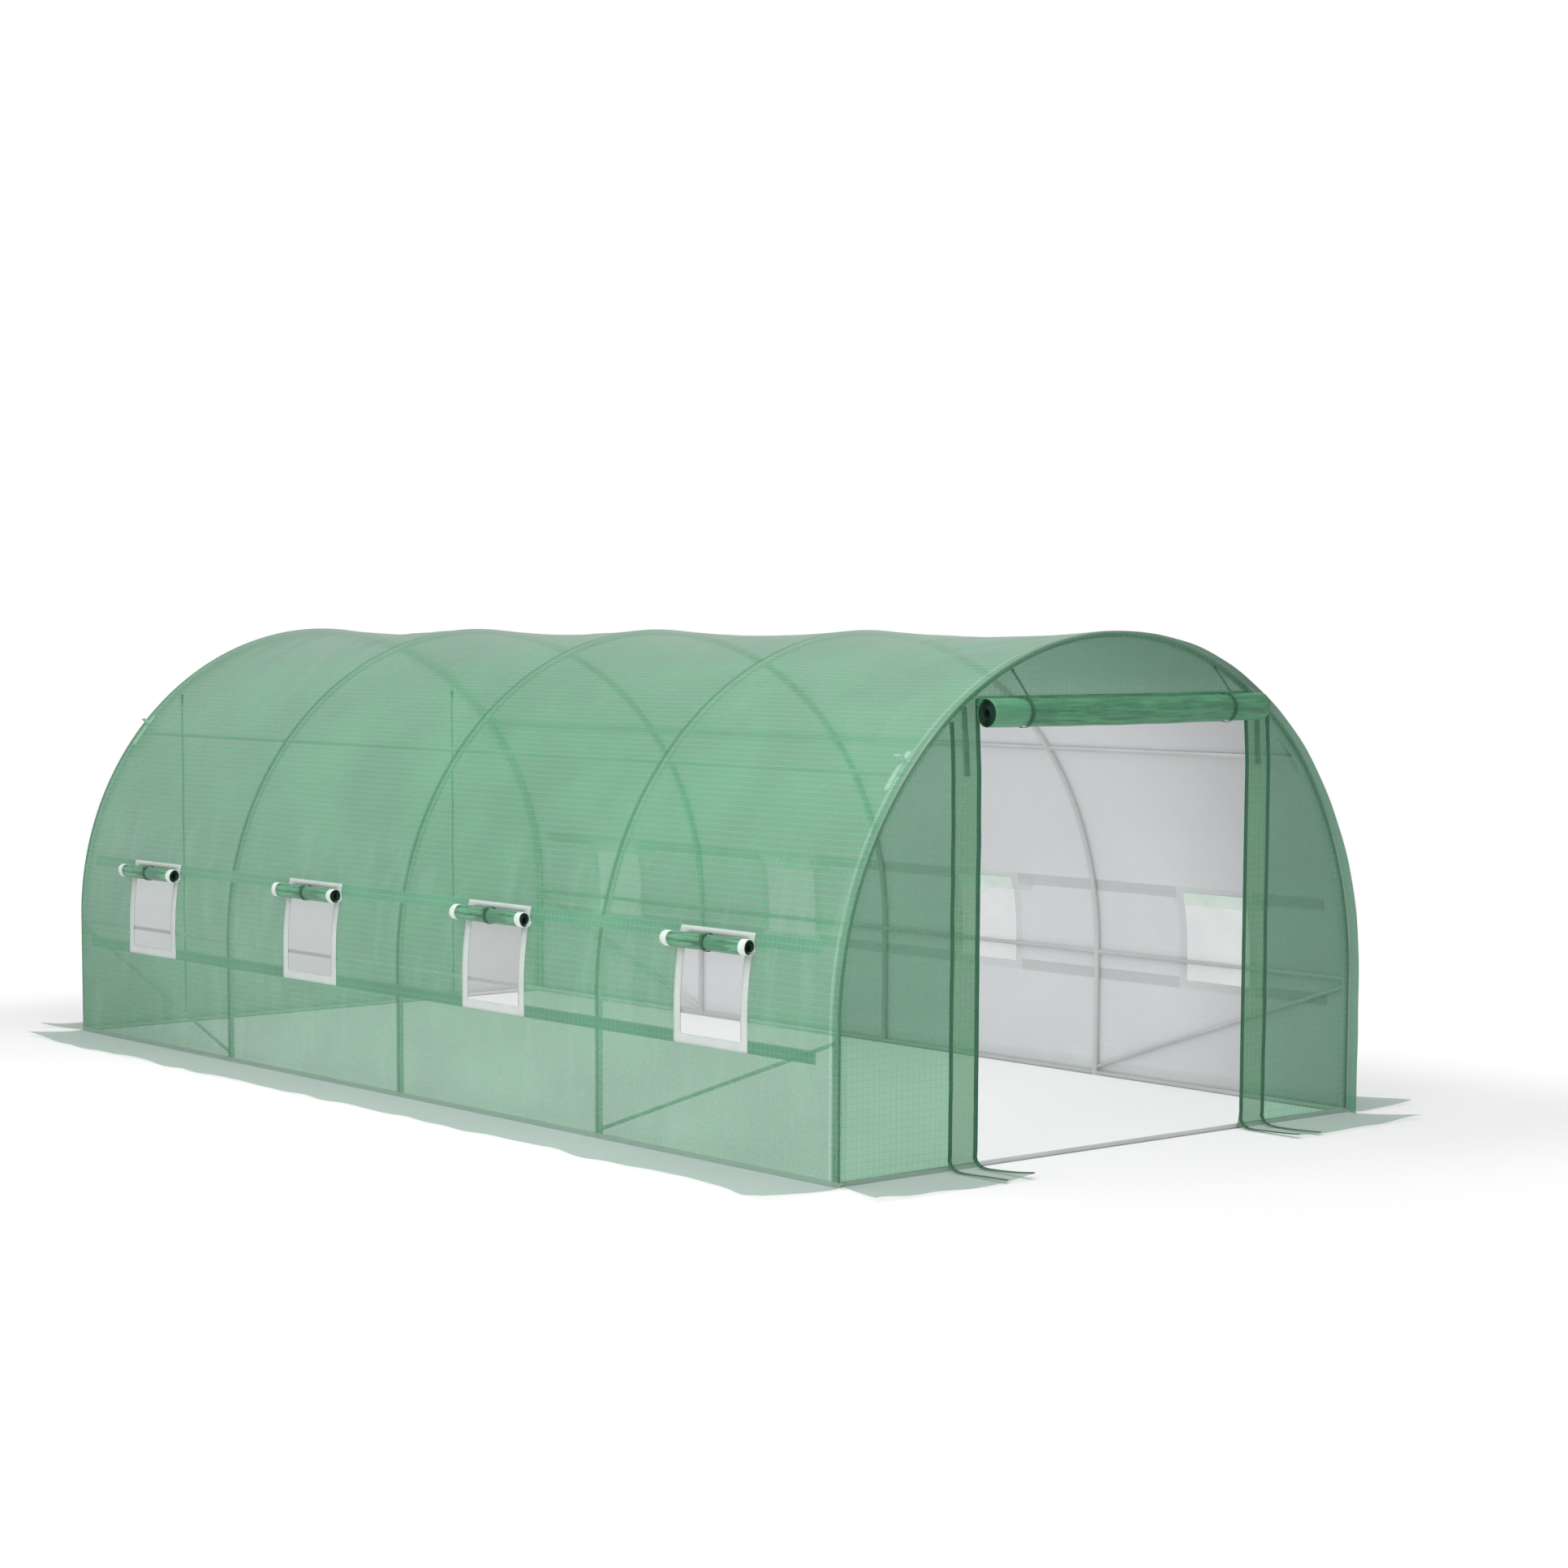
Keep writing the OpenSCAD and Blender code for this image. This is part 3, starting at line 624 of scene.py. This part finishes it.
def floor_material():
    """Matt white floor that runs out into plain white, away from the object and its shadow."""
    g = Graph("floor_white")
    where = g.place()
    base = g.mix(g.noise(where, 0.4, 2.0), (0.94, 0.94, 0.94), (0.96, 0.96, 0.96))
    matt = g.bsdf("Diffuse", Color=base)
    white = g.node("Emission", Color=(1, 1, 1), Strength=1.0)
    split = g.node("SeparateXYZ", i0=where)
    across, along = (g.math("ABSOLUTE", split.outputs[k]) for k in (0, 1))
    beyond = g.most(g.math("SUBTRACT", across, 1.9), g.math("SUBTRACT", along, 3.3))
    away = g.ramp(beyond, 0.2, 1.5)
    path = g.node("LightPath")
    seen = g.most(path.outputs["Is Camera Ray"],
                  g.most(path.outputs["Is Glossy Ray"], path.outputs["Is Transmission Ray"]))
    return g.surface(g.shader(g.times(away, seen), matt, white.outputs[0]))


# Three close tones of one steel, lit and shaded copies painted for tubes in more or less light.
steel = steel_material("coated_steel", (0.53, 0.54, 0.545))
lit_steel = steel_material("coated_lit_steel", (0.61, 0.62, 0.625))
shaded_steel = steel_material("coated_shaded_steel", (0.485, 0.495, 0.50))
border_cloth, screen_cloth = border_material(), screen_material()


def dress(ob, slot, *materials):
    """Gives a piece its materials and its body. Its slot is not used."""
    ob.data.materials.clear()
    for material in materials:
        ob.data.materials.append(material)
    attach(ob, "root")


# The cover, with its doubled bands, window borders and screens
S_OPEN = (s_of_z(OPEN_HIGH), s_of_z(OPEN_LOW))
S_WIN = (s_of_z(WIN_HIGH), s_of_z(WIN_LOW))
# The strip just behind the front hoop, where a painted highlight runs along the cover.
HIGHLIGHT_Y = (HOOP_Y[0] + 0.0135, HOOP_Y[0] + 0.030)
S_BANDS = [(s_of_z(z), s_of_z(z - BAND_H)) for z in (WIN_HIGH, WIN_LOW + BAND_H)]
# Longest step of the cover's grid, and how far the pieces on it lie out from it.
COVER_STEP = 0.027
BAND_OUT, BORDER_OUT, SCREEN_OUT, BORDER_THICK = 0.0012, 0.0022, -0.0008, 0.0014


def in_window(s, y):
    return S_OPEN[0] < s < S_OPEN[1] and any(abs(y - b) < OPEN_HALF for b in BAY_Y)


def cover_material(s, y):
    """0 for plain cover, 1 where a band doubles it, 2 past the front sheet, 3 for the painted highlight just
    behind the front hoop.
    """
    if y < HIGHLIGHT_Y[1]:
        return 2 if y < FACE else 3 if y > HIGHLIGHT_Y[0] else 0
    banded = any(a < abs(s) < b for a, b in S_BANDS) and BAND_Y0 < y < BAND_Y1
    return 1 if banded and all(abs(y - b) > WIN_HALF for b in BAY_Y) else 0


def cover_grid(s_lines, y_lines, out, hole=None):
    """A patch of cover, or of cloth that lies out from it, as (verts, faces, uv). hole leaves faces out."""
    s, y = np.meshgrid(s_lines, y_lines, indexing="ij")

    def keep(i, j):
        sm, ym = (s_lines[i] + s_lines[i + 1]) / 2, (y_lines[j] + y_lines[j + 1]) / 2
        return hole is None or not hole(abs(sm), ym)

    faces = flipped(grid_faces(len(s_lines), len(y_lines), keep))
    return prune(film(s.ravel(), y.ravel(), out), faces, np.stack([s.ravel(), y.ravel()], -1))


marks_s = [0, QUARTER, HALF, *S_OPEN, *S_WIN, *S_BANDS[0], *S_BANDS[1]]
marks_y = [-END, END, FACE, BAND_Y0, BAND_Y1, *HOOP_Y, *HIGHLIGHT_Y]
marks_y += [b + k * h for b in BAY_Y for k in (-1, 1) for h in (OPEN_HALF, WIN_HALF)]
# More lines where the edge turns in past the back hoop.
marks_y += [HOOP_Y[-1] + k * 0.0042 for k in (1, 2, 3)]
s_lines, y_lines = steps([-m for m in marks_s] + marks_s, COVER_STEP), steps(marks_y, COVER_STEP)
cover = make("cover_sheet", *cover_grid(s_lines, y_lines, 0.0, in_window))
dress(cover, "cover", cover_film, doubled_film, hem_film, highlight_film)
paint(cover, cover_material)
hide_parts("left_wall_cover", "left_shoulder_cover", "crown_cover", "right_shoulder_cover",
            "right_wall_cover")

# The screens are backed with tape down to here, behind the rolled blinds.
S_HEAD = s_of_z(BLIND_Z - BLIND_R + 0.004)
for side, word in SIDES:
    parts, strip = [], 0.0
    for a, b in S_BANDS:
        stops = [BAND_Y0] + [y + k * WIN_HALF for y in BAY_Y for k in (-1, 1)] + [BAND_Y1]
        for y0, y1 in zip(stops[::2], stops[1::2]):
            parts.append(cover_grid(steps([side * a, side * b], 0.013), steps([y0, y1], COVER_STEP), BAND_OUT))
            strip += (b - a) * (y1 - y0)
    bands = joined(f"{word}_bands", parts)
    dress(bands, "cover", band_film, low_band_film, far_band_film)
    paint(bands, lambda s, y: 1 if abs(s) > S_BANDS[0][1] else 2 if y > BAY_Y[2] else 0)
    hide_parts(f"{word}_wall_bands")

    parts, nets = [], []
    for b in BAY_Y:
        ss = steps([side * s for s in (*S_WIN, *S_OPEN)], 0.014)
        yy = steps([b + k * h for k in (-1, 1) for h in (WIN_HALF, OPEN_HALF)], 0.02)
        parts.append(cover_grid(ss, yy, BORDER_OUT, in_window))
        ss = steps([side * s for s in (*S_OPEN, S_HEAD)], 0.02)
        nets.append(cover_grid(ss, steps([b - OPEN_HALF, b + OPEN_HALF], 0.02), SCREEN_OUT))
    borders = joined(f"{word}_borders", parts)
    solidify(borders, BORDER_THICK)
    dress(borders, "border", border_cloth)
    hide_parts(f"{word}_window_borders")
    screens = joined(f"{word}_screens", nets)
    dress(screens, "screen", screen_cloth, hook_tape)
    paint(screens, lambda s, y: 1 if abs(s) < S_HEAD else 0)
    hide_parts(f"{word}_window_screens")


# The end sheets
def rim_z(x, rim):
    """Height of an end sheet's rim at x."""
    return LEG + np.sqrt(np.clip(rim ** 2 - np.asarray(x, float) ** 2, 0, None))


def end_patch(x_lines, low, high, rows, place):
    """A patch of end sheet between the heights low(x) and high(x)."""
    x = np.repeat(x_lines[None, :], rows, 0)
    z = low(x) + (high(x) - low(x)) * np.linspace(0, 1, rows)[:, None]
    verts = np.stack([x, place(x, z), z], -1).reshape(-1, 3)
    return verts, grid_faces(rows, len(x_lines)), np.stack([x, z], -1).reshape(-1, 2)


def front_rim(x):
    return rim_z(x, FRONT_RIM)


def shoulder(x):
    """The height at which the front sheet's lower patch meets its upper one, DOOR_H at the doorway."""
    return front_rim(x) * DOOR_H / float(front_rim(DOOR_HALF))


# Columns of the left panel, one of them at the zip.
at_zip, at_door = (math.asin(x / FRONT_RIM) for x in (ZIP_X, DOOR_HALF))
turns = np.concatenate([np.linspace(math.pi / 2, at_zip, 29), np.linspace(at_zip, at_door, 6)[1:]])
x_left = -FRONT_RIM * np.sin(turns)
parts = []
for xs in (x_left, -x_left[::-1]):
    parts.append(end_patch(xs, np.zeros_like, shoulder, 72, front_y))
    parts.append(end_patch(xs, shoulder, front_rim, 4, front_y))
x_over = steps([-DOOR_HALF, DOOR_HALF], 0.024)
parts.append(end_patch(x_over, lambda x: np.full_like(x, DOOR_H), front_rim, 14, front_y))
front = welded("front_end_sheet", parts)
dress(front, "cover", end_film, strip_film)
paint(front, lambda x, z: 1 if DOOR_HALF < abs(x) < ZIP_X else 0)
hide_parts("front_panel_left", "front_panel_right", "front_panel_top")

# The back sheet has columns under its zips too.
zip_lines = [k * BACK_ZIP_X + h for k in (-1, 1) for h in (-0.011, 0.0, 0.011)]
x_back = BACK_RIM * np.sin(np.linspace(-math.pi / 2, math.pi / 2, 104))
x_back = np.sort(np.concatenate([x_back, zip_lines]))
v, f, t = end_patch(x_back, np.zeros_like, lambda x: rim_z(x, BACK_RIM), 78, back_y)
back = make("back_end_sheet", v, flipped(f), t)
dress(back, "cover", back_film)
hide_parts("back_panel")


# The ground flaps
def flap_lift(along, across, tip, width, seed):
    """Height of a flap: a soft turn at the wall, ripples that grow outwards, and curled-up ends."""
    w = np.clip(across / width, 0, 1)
    wave = (np.sin(along * 7.3 + seed) + 0.7 * np.sin(along * 12.9 + 2.1 * seed + across * 9)
            + 0.5 * np.sin(along * 23.0 + 0.7 * seed - across * 14))
    turn = 0.020 * np.exp(-across / 0.016)
    ripples = 0.0026 * w * (wave + 2.2)
    curl = 0.014 * np.exp(-(tip / 0.12) ** 2) * w ** 2
    return 0.0022 + turn + ripples + curl


def flap(name, place, length, width, seed, over):
    """A ground flap. place gives its ground points for u along the wall and w away from it.

    over is true where the grid's faces have to be turned to look up.
    """
    u = np.linspace(0, 1, max(12, int(length / 0.025)))[:, None]
    w = np.concatenate([np.linspace(0, 0.04, 5), np.linspace(0.04, width, 13)[1:]])[None, :] / width
    x, y = place(u, w)
    across = w * width + 0 * u
    tip = np.minimum(u, 1 - u) * length + 0 * w
    along = np.abs(x) if "front" in name or "back" in name else y
    lift = flap_lift(along, across, tip, width, seed)
    edge = 0.010 * (np.sin(along * 6.1 + seed * 3) + 0.6 * np.sin(along * 17 + seed) - 0.6) * w ** 2
    if "front" in name:
        y = y - edge
    elif "back" in name:
        y = y + edge
    else:
        x = x + edge * np.sign(x)
    verts = np.stack([x, y, lift], -1).reshape(-1, 3)
    faces = grid_faces(*along.shape)
    cloth = np.stack([along, across], -1).reshape(-1, 2)
    ob = make(name + "_sheet", verts, flipped(faces) if over else faces, cloth)
    dress(ob, "cover", flap_film)
    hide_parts(name)


def front_flap_x(w):
    """Outer end of a front flap: inside the cover's edge at first, then splayed."""
    clear = (END + FACE) / SKIRT_W
    return RADIUS - CORNER_GAP + (END_SPLAY + CORNER_GAP) * np.clip((w - clear) / (1 - clear), 0, None)


SIDE_L = 2 * (END - CORNER_GAP)
BACK_W = SKIRT_Y - END
for side, word in SIDES:
    def side_place(u, w):
        y = (u - 0.5) * SIDE_L + 0 * w
        return side * (RADIUS - 0.001 + SKIRT_W * w + 0.06 * w ** 2 * np.exp(-(u * SIDE_L / 0.22) ** 2)), y

    def front_place(u, w):
        return side * (DOOR_HALF + (front_flap_x(w) - DOOR_HALF) * u), FACE - SKIRT_W * w + 0 * u

    flap(f"{word}_skirt", side_place, SIDE_L, SKIRT_W, 1.0 + side, side > 0)
    flap(f"front_{word}_skirt", front_place, RADIUS + END_SPLAY - DOOR_HALF, SKIRT_W,
         4.0 + side, side > 0)


def back_place(u, w):
    return (2 * u - 1) * (RADIUS - CORNER_GAP + (END_SPLAY + CORNER_GAP) * w), END + BACK_W * w + 0 * u


flap("back_skirt", back_place, 2 * (RADIUS + END_SPLAY), BACK_W,
     7.0, True)


# The rolled door and blinds: core, number of turns, thickness of the cloth, and where the roll begins.
BLIND_CORE, BLIND_TURNS, BLIND_CLOTH, BLIND_FROM = 0.011, 3.15, 0.0016, 200
DOOR_CORE, DOOR_TURNS, DOOR_CLOTH, DOOR_FROM = 0.020, 6.6, 0.0018, 30
# Radius of the door's outer turn, and the sheet between the doorway's head and the roll.
TURN_R, LEAD = ROLL_R - 0.0015, 0.037
TAPE_W = 0.040


def coil(length, r_out, r_core, turns, per_turn, rows, seed):
    """A sheet rolled up along X about the origin: verts, faces, uv (along, round) and its flat length."""
    theta = np.linspace(0, turns * 2 * math.pi, int(turns * per_turn) + 1)
    th, xx = np.meshgrid(theta, np.linspace(0, length, rows), indexing="ij")
    plain = r_out - (r_out - r_core) * theta / theta[-1]
    wob = (0.5 * np.sin(xx * 9 + seed) + 0.5 * np.sin(xx * 21 + 2 * seed + th)) * 0.0011
    wob += 0.0008 * np.sin(3 * th + xx * 6 + seed)
    r = plain[:, None] * (1 + wob / r_out)
    # At both ends the turns stand out unevenly.
    outward = np.where(xx < length / 2, -1, 1)
    shift = 0.0035 * np.sin(th * 0.83 + seed) * outward * (np.abs(xx / length - 0.5) * 2) ** 8
    turned = np.stack([plain * np.cos(theta), plain * np.sin(theta)])
    turned = np.concatenate([[0], np.cumsum(np.hypot(*np.diff(turned, axis=1)))])
    uv = np.stack([xx, np.repeat(turned[:, None], rows, 1)], -1)
    verts = np.stack([xx + shift, r * np.cos(th), r * np.sin(th)], -1)
    return verts.reshape(-1, 3), grid_faces(len(theta), rows), uv.reshape(-1, 2), float(turned[-1])


def turned_by(v, angle):
    """Y and Z of points turned about X by an angle in degrees."""
    c, s = math.cos(math.radians(angle)), math.sin(math.radians(angle))
    return v[:, 1] * c - v[:, 2] * s, v[:, 1] * s + v[:, 2] * c


def blind_material(u, w):
    """0 for the outer turn, 1 for the tapes on it, 2 for the turns in its shade, which are painted dark."""
    if w > 2 * math.pi * BLIND_R:
        return 2
    return 1 if min(u, BLIND_L - u) < TAPE_W else 0


for side, word in SIDES:
    parts = []
    for i, b in enumerate(BAY_Y):
        v, f, t, unrolled = coil(BLIND_L, BLIND_R - BLIND_CLOTH / 2, BLIND_CORE, BLIND_TURNS, 30, 42,
                                 1.7 * i + side)
        out, up = turned_by(v, BLIND_FROM)
        along = b + side * (v[:, 0] - BLIND_L / 2)
        place = np.stack([side * (BLIND_X + 0.0005 + out), along, BLIND_Z + up], -1)
        parts.append((place, f if side > 0 else flipped(f), t))
    blinds = joined(f"{word}_blinds", parts)
    solidify(blinds, BLIND_CLOTH)
    dress(blinds, "rolled_cover", rolled, hook_tape, shaded_inner_turns)
    paint(blinds, blind_material)
    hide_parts(f"{word}_window_blinds")

v, f, t, unrolled = coil(ROLL_X1 - ROLL_X0, TURN_R, DOOR_CORE, DOOR_TURNS, 40, 86, 0.4)
out, up = turned_by(v, DOOR_FROM)
# The roll hangs a little between its ties and is pinched in them.
x = ROLL_X0 + v[:, 0]
dip = -0.005 * np.cos(np.clip(x / TIE_X, -1, 1) * math.pi / 2)
pinch = 1 - 0.06 * sum(np.exp(-((x - k * TIE_X) / 0.025) ** 2) for k in (-1, 1))
roll = (np.stack([x, ROLL_Y + out * pinch, ROLL_Z + up * pinch + dip], -1), f, t)
# From the head of the doorway the sheet runs down into the roll.
k = np.linspace(0, 1, 5)[:, None]
xs = np.linspace(ROLL_X0 + 0.02, ROLL_X1 - 0.004, 86)[None, :]
begin = math.radians(DOOR_FROM)
from_y, from_z = FACE + 0.003, DOOR_H + 0.008
to_y, to_z = ROLL_Y + TURN_R * math.cos(begin), ROLL_Z + TURN_R * math.sin(begin)
lead = np.stack([xs + 0 * k, from_y + (to_y - from_y) * k + 0 * xs, from_z + (to_z - from_z) * k + 0 * xs], -1)
lead_uv = np.stack([xs - ROLL_X0 + 0 * k, -LEAD * (1 - k) + 0 * xs], -1)
door = joined("rolled_door", [roll, (lead.reshape(-1, 3), grid_faces(5, 86), lead_uv.reshape(-1, 2))])
solidify(door, DOOR_CLOTH)
dress(door, "rolled_cover", rolled_door, shaded_inner_turns)
# The door's inner turns are painted dark as shade.
paint(door, lambda u, w: 1 if w > 2 * math.pi * ROLL_R * 1.02 else 0)
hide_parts("door_roll")


# Ties and straps
# A door tie runs from its seam down to the front of the roll and round it. It lies this far off the sheet.
TIE_OFF = 0.0022
parts = []
for side in (-1, 1):
    x, r = side * TIE_X, ROLL_R + 0.0006
    ahead, rise = FACE - TIE_OFF - ROLL_Y, TIE_Z - ROLL_Z
    turn = math.atan2(rise, ahead) + math.acos(r / math.hypot(ahead, rise))
    ring = [(x, ROLL_Y + r * math.cos(a), ROLL_Z + r * math.sin(a))
            for a in turn + np.radians(np.linspace(0, 330, 50))]
    _, y1, z1 = ring[0]
    taut = [(x + 0.0015 * math.sin(4 * k), FACE - TIE_OFF + (y1 - FACE + TIE_OFF) * k, TIE_Z + (z1 - TIE_Z) * k)
            for k in np.linspace(0, 1, 14)[:-1]]
    seam = [(x, float(front_y(x, z)) - TIE_OFF, z) for z in (TIE_Z + 0.010, TIE_Z + 0.005)]
    parts.append(ribbon(seam + taut + ring, (1, 0, 0), TIE_W, 0.0022))
    # Stitching across the seam.
    parts.append(block((x, FACE - 0.0040, TIE_Z + 0.006), (TIE_W * 0.9, 0.0014, 0.0018)))
ties = joined("door_ties", parts)
dress(ties, "webbing", webbing)
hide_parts("door_roll_ties")

# Straps that hang beside the doorway, sewn on at the top.
parts = []
for side in (-1, 1):
    t = np.linspace(0, 1, 24)
    z = STRAP_TOP - STRAP_L * t
    x = side * STRAP_X + 0.003 * np.sin(t * 4 + side)
    y = front_y(x, z) - 0.0024 - 0.006 * t ** 2 * (1 + 0.3 * np.sin(t * 6))
    parts.append(ribbon(np.stack([x, y, z], -1), (1, 0, 0), STRAP_W, 0.002))
    for drop in (0.006, 0.027):
        x, z = side * STRAP_X, STRAP_TOP - drop
        parts.append(block((x, float(front_y(x, z)) - 0.0040, z), (0.024, 0.0012, 0.0016)))
straps = joined("hanging_straps", parts)
dress(straps, "webbing", strap_web)
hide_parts("door_hanging_straps")

# Ties round the window blinds, each with a knot.
parts = []
for side in (-1, 1):
    for b in BAY_Y:
        a = np.linspace(0, 2 * math.pi, 37)
        r = BLIND_R + 0.0011
        ring = np.stack([side * BLIND_X + r * np.cos(a), np.full_like(a, b), BLIND_Z + r * np.sin(a)], -1)
        parts.append(ribbon(ring, (0, 1, 0), 0.020, 0.0020))
        knot = (side * (BLIND_X + 0.72 * r), b + 0.004, BLIND_Z + 0.72 * r)
        parts.append(block(knot, (0.010, 0.016, 0.010)))
blind_ties = joined("blind_ties", parts)
dress(blind_ties, "webbing", webbing)
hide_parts("window_blind_ties")


# Zips and bound edges: radius of the bend at the ground, and pitch, lean and size of the zip's teeth.
BEND = 0.045
TOOTH_PITCH, TOOTH_LEAN, TOOTH = 0.0052, 0.0016, (0.0058, 0.0034, 0.0018)


def strip_path(side, x, top):
    """Down the front sheet, round a soft bend at the ground, and out along the flap."""
    foot = float(front_y(x, BEND)) - 0.002
    path = [(x, float(front_y(x, z)) - 0.002, z) for z in np.linspace(top, BEND + 0.010, 60)]
    for a in np.linspace(0, math.pi / 2, 10)[1:-1]:
        path.append((x, foot - BEND * (1 - math.cos(a)), 0.010 + BEND * (1 - math.sin(a))))
    for across in np.linspace(BEND + 0.003, SKIRT_W - 0.012, 26):
        lift = float(flap_lift(abs(x), across, abs(x) - DOOR_HALF, SKIRT_W, 4.0 + side))
        path.append((x, FACE - across, max(lift + 0.0022, 0.010 - (across - BEND) * 0.1)))
    return path


def zip_parts(path, face):
    """A zip: its tape, and inside it two rows of teeth that meet and a slider at the top.

    face is 1 on the front sheet and -1 on the back sheet.
    """
    parts = [ribbon(path, (1, 0, 0), TRIM_W, 0.0022)]
    pts = np.asarray(path)
    gone = np.concatenate([[0], np.cumsum(np.linalg.norm(np.diff(pts, axis=0), axis=1))])
    run = np.gradient(pts, axis=0)
    run /= np.linalg.norm(run, axis=1)[:, None]
    for k, d in enumerate(np.arange(0.02, gone[-1] - 0.01, TOOTH_PITCH)):
        p = np.array([np.interp(d, gone, pts[:, c]) for c in range(3)])
        r = np.array([np.interp(d, gone, run[:, c]) for c in range(3)])
        r /= np.linalg.norm(r)
        n = np.cross((1, 0, 0), r) * face
        lean = TOOTH_LEAN if k % 2 else -TOOTH_LEAN
        parts.append((*block(p + n * 0.0018 + np.array((lean, 0, 0)), TOOTH, [(1, 0, 0), r, n]), 1))
    head, r = pts[0] + run[0] * 0.012, run[0]
    n = np.cross((1, 0, 0), r) * face
    parts.append((*block(head + n * 0.004, (0.013, 0.020, 0.006), [(1, 0, 0), r, n]), 1))
    parts.append((*block(head + n * 0.008 + r * 0.020, (0.007, 0.030, 0.002), [(1, 0, 0), r, n]), 1))
    return parts


for side, word in SIDES:
    parts = zip_parts(strip_path(side, side * ZIP_X, ZIP_TOP), 1)
    edge = np.array(strip_path(side, side * EDGE_X, DOOR_H))
    parts.append(ribbon(edge, (1, 0, 0), TRIM_W, 0.003))
    # Piping along the doorway's side of the bound edge.
    piping = edge + np.array((-side * TRIM_W * 0.42, -0.0006, 0.0006))
    parts.append((*ribbon(piping, (1, 0, 0), 0.0046, 0.0044), 1))
    trim = joined(f"{word}_zip_and_edge", parts)
    dress(trim, "webbing", zip_tape, zip_teeth)
    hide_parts(f"{word}_door_trim")

# The back zips
parts = []
for side in (-1, 1):
    z = np.linspace(ZIP_TOP, 0.02, 80)
    x = np.full_like(z, side * BACK_ZIP_X)
    parts += zip_parts(np.stack([x, back_y(x, z) + 0.002, z], -1), -1)
back_zips = joined("back_zips", parts)
dress(back_zips, "webbing", zip_tape, back_zip_teeth)
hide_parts("back_door_zips")

# Tapes that sew the guy loops to the cover: arc lengths from the crown, and how far inside the end hoops.
LOOP_S, LOOP_IN = (1.205, 1.400), 0.045
loop_web = loop_material()
parts = []
for side in (-1, 1):
    for y in (HOOP_Y[0] + LOOP_IN, HOOP_Y[-1] - LOOP_IN):
        along = side * np.linspace(*LOOP_S, 14)
        parts.append(ribbon(film(along, np.full(14, y), 0.0008), (0, 1, 0), 0.030, 0.0016))
dress(joined("loop_tapes", parts), "webbing", loop_web)

# The CAD nodes that stay
TUBES = ("hoop", "brace", "base_rail", "waist", "shoulder_rail")
# Tubes that get the painted lit or the painted shaded copy of the steel.
LIT_TUBES = ("left_waist_rail", "second_hoop", "right_back_brace")
SHADED_TUBES = ("left_front_brace", "left_back_brace", "middle_hoop", "fourth_hoop")


def node_finish(name):
    """The material of a CAD node, or None where a Blender piece replaces it."""
    if name == "guy_loops":
        return loop_web
    if "sill" in name or name in LIT_TUBES:
        return lit_steel
    if name in SHADED_TUBES:
        return shaded_steel
    return steel if any(word in name for word in TUBES) else None


for name, ob in NODES.items():
    finish = node_finish(name)
    for slot in ob.material_slots if finish else ():
        slot.material = finish


# Floor, light and camera
FLOOR_HALF, FLOOR_Z = 60.0, -0.0005
corners = [(x * FLOOR_HALF, y * FLOOR_HALF, FLOOR_Z) for x, y in ((-1, -1), (1, -1), (1, 1), (-1, 1))]
floor = make("floor", corners, [(0, 1, 2, 3)])
floor.data.materials.append(floor_material())

# The world lights the scene less than the camera sees it.
WORLD_LIGHT, WORLD_SEEN = 0.50, 1.0
scene = bpy.context.scene
sky = Graph("studio", "World")
light, seen = (sky.node("Background", Color=(1, 1, 1), Strength=k).outputs[0]
               for k in (WORLD_LIGHT, WORLD_SEEN))
scene.world = sky.surface(sky.shader(sky.node("LightPath").outputs["Is Camera Ray"], light, seen))


def softbox(name, at, aim, size, watts):
    lamp = bpy.data.lights.new(name, "AREA")
    lamp.shape, lamp.size, lamp.size_y, lamp.energy = "RECTANGLE", size[0], size[1], watts
    ob = bpy.data.objects.new(name, lamp)
    ob.location = at
    ob.rotation_euler = (Vector(aim) - Vector(at)).to_track_quat("-Z", "Y").to_euler()
    scene.collection.objects.link(ob)


softbox("overhead", (-2.0, -1.0, 8.5), (0, 0, 0.5), (9, 9), 480)
softbox("key_left", (-9.0, -5.0, 6.0), (0, 0, 1.0), (5, 4), 300)

# The photograph's view, fitted to its outline and its hoops.
CAMERA_AT, CAMERA_LENS, CAMERA_SHIFT = (-9.392, -11.672, 2.131), 72.27, (0.0933, 0.0808)
yaw, pitch = math.radians(38.402), math.radians(5.231)
camera = bpy.data.objects.new("camera", bpy.data.cameras.new("camera"))
camera.location = CAMERA_AT
ahead = Vector((math.sin(yaw) * math.cos(pitch), math.cos(yaw) * math.cos(pitch), -math.sin(pitch)))
camera.rotation_euler = ahead.to_track_quat("-Z", "Y").to_euler()
camera.data.sensor_width = 36.0
camera.data.lens = CAMERA_LENS
camera.data.shift_x, camera.data.shift_y = CAMERA_SHIFT
camera.data.clip_end = 200.0
scene.collection.objects.link(camera)
scene.camera = camera
scene.view_settings.view_transform = "Standard"
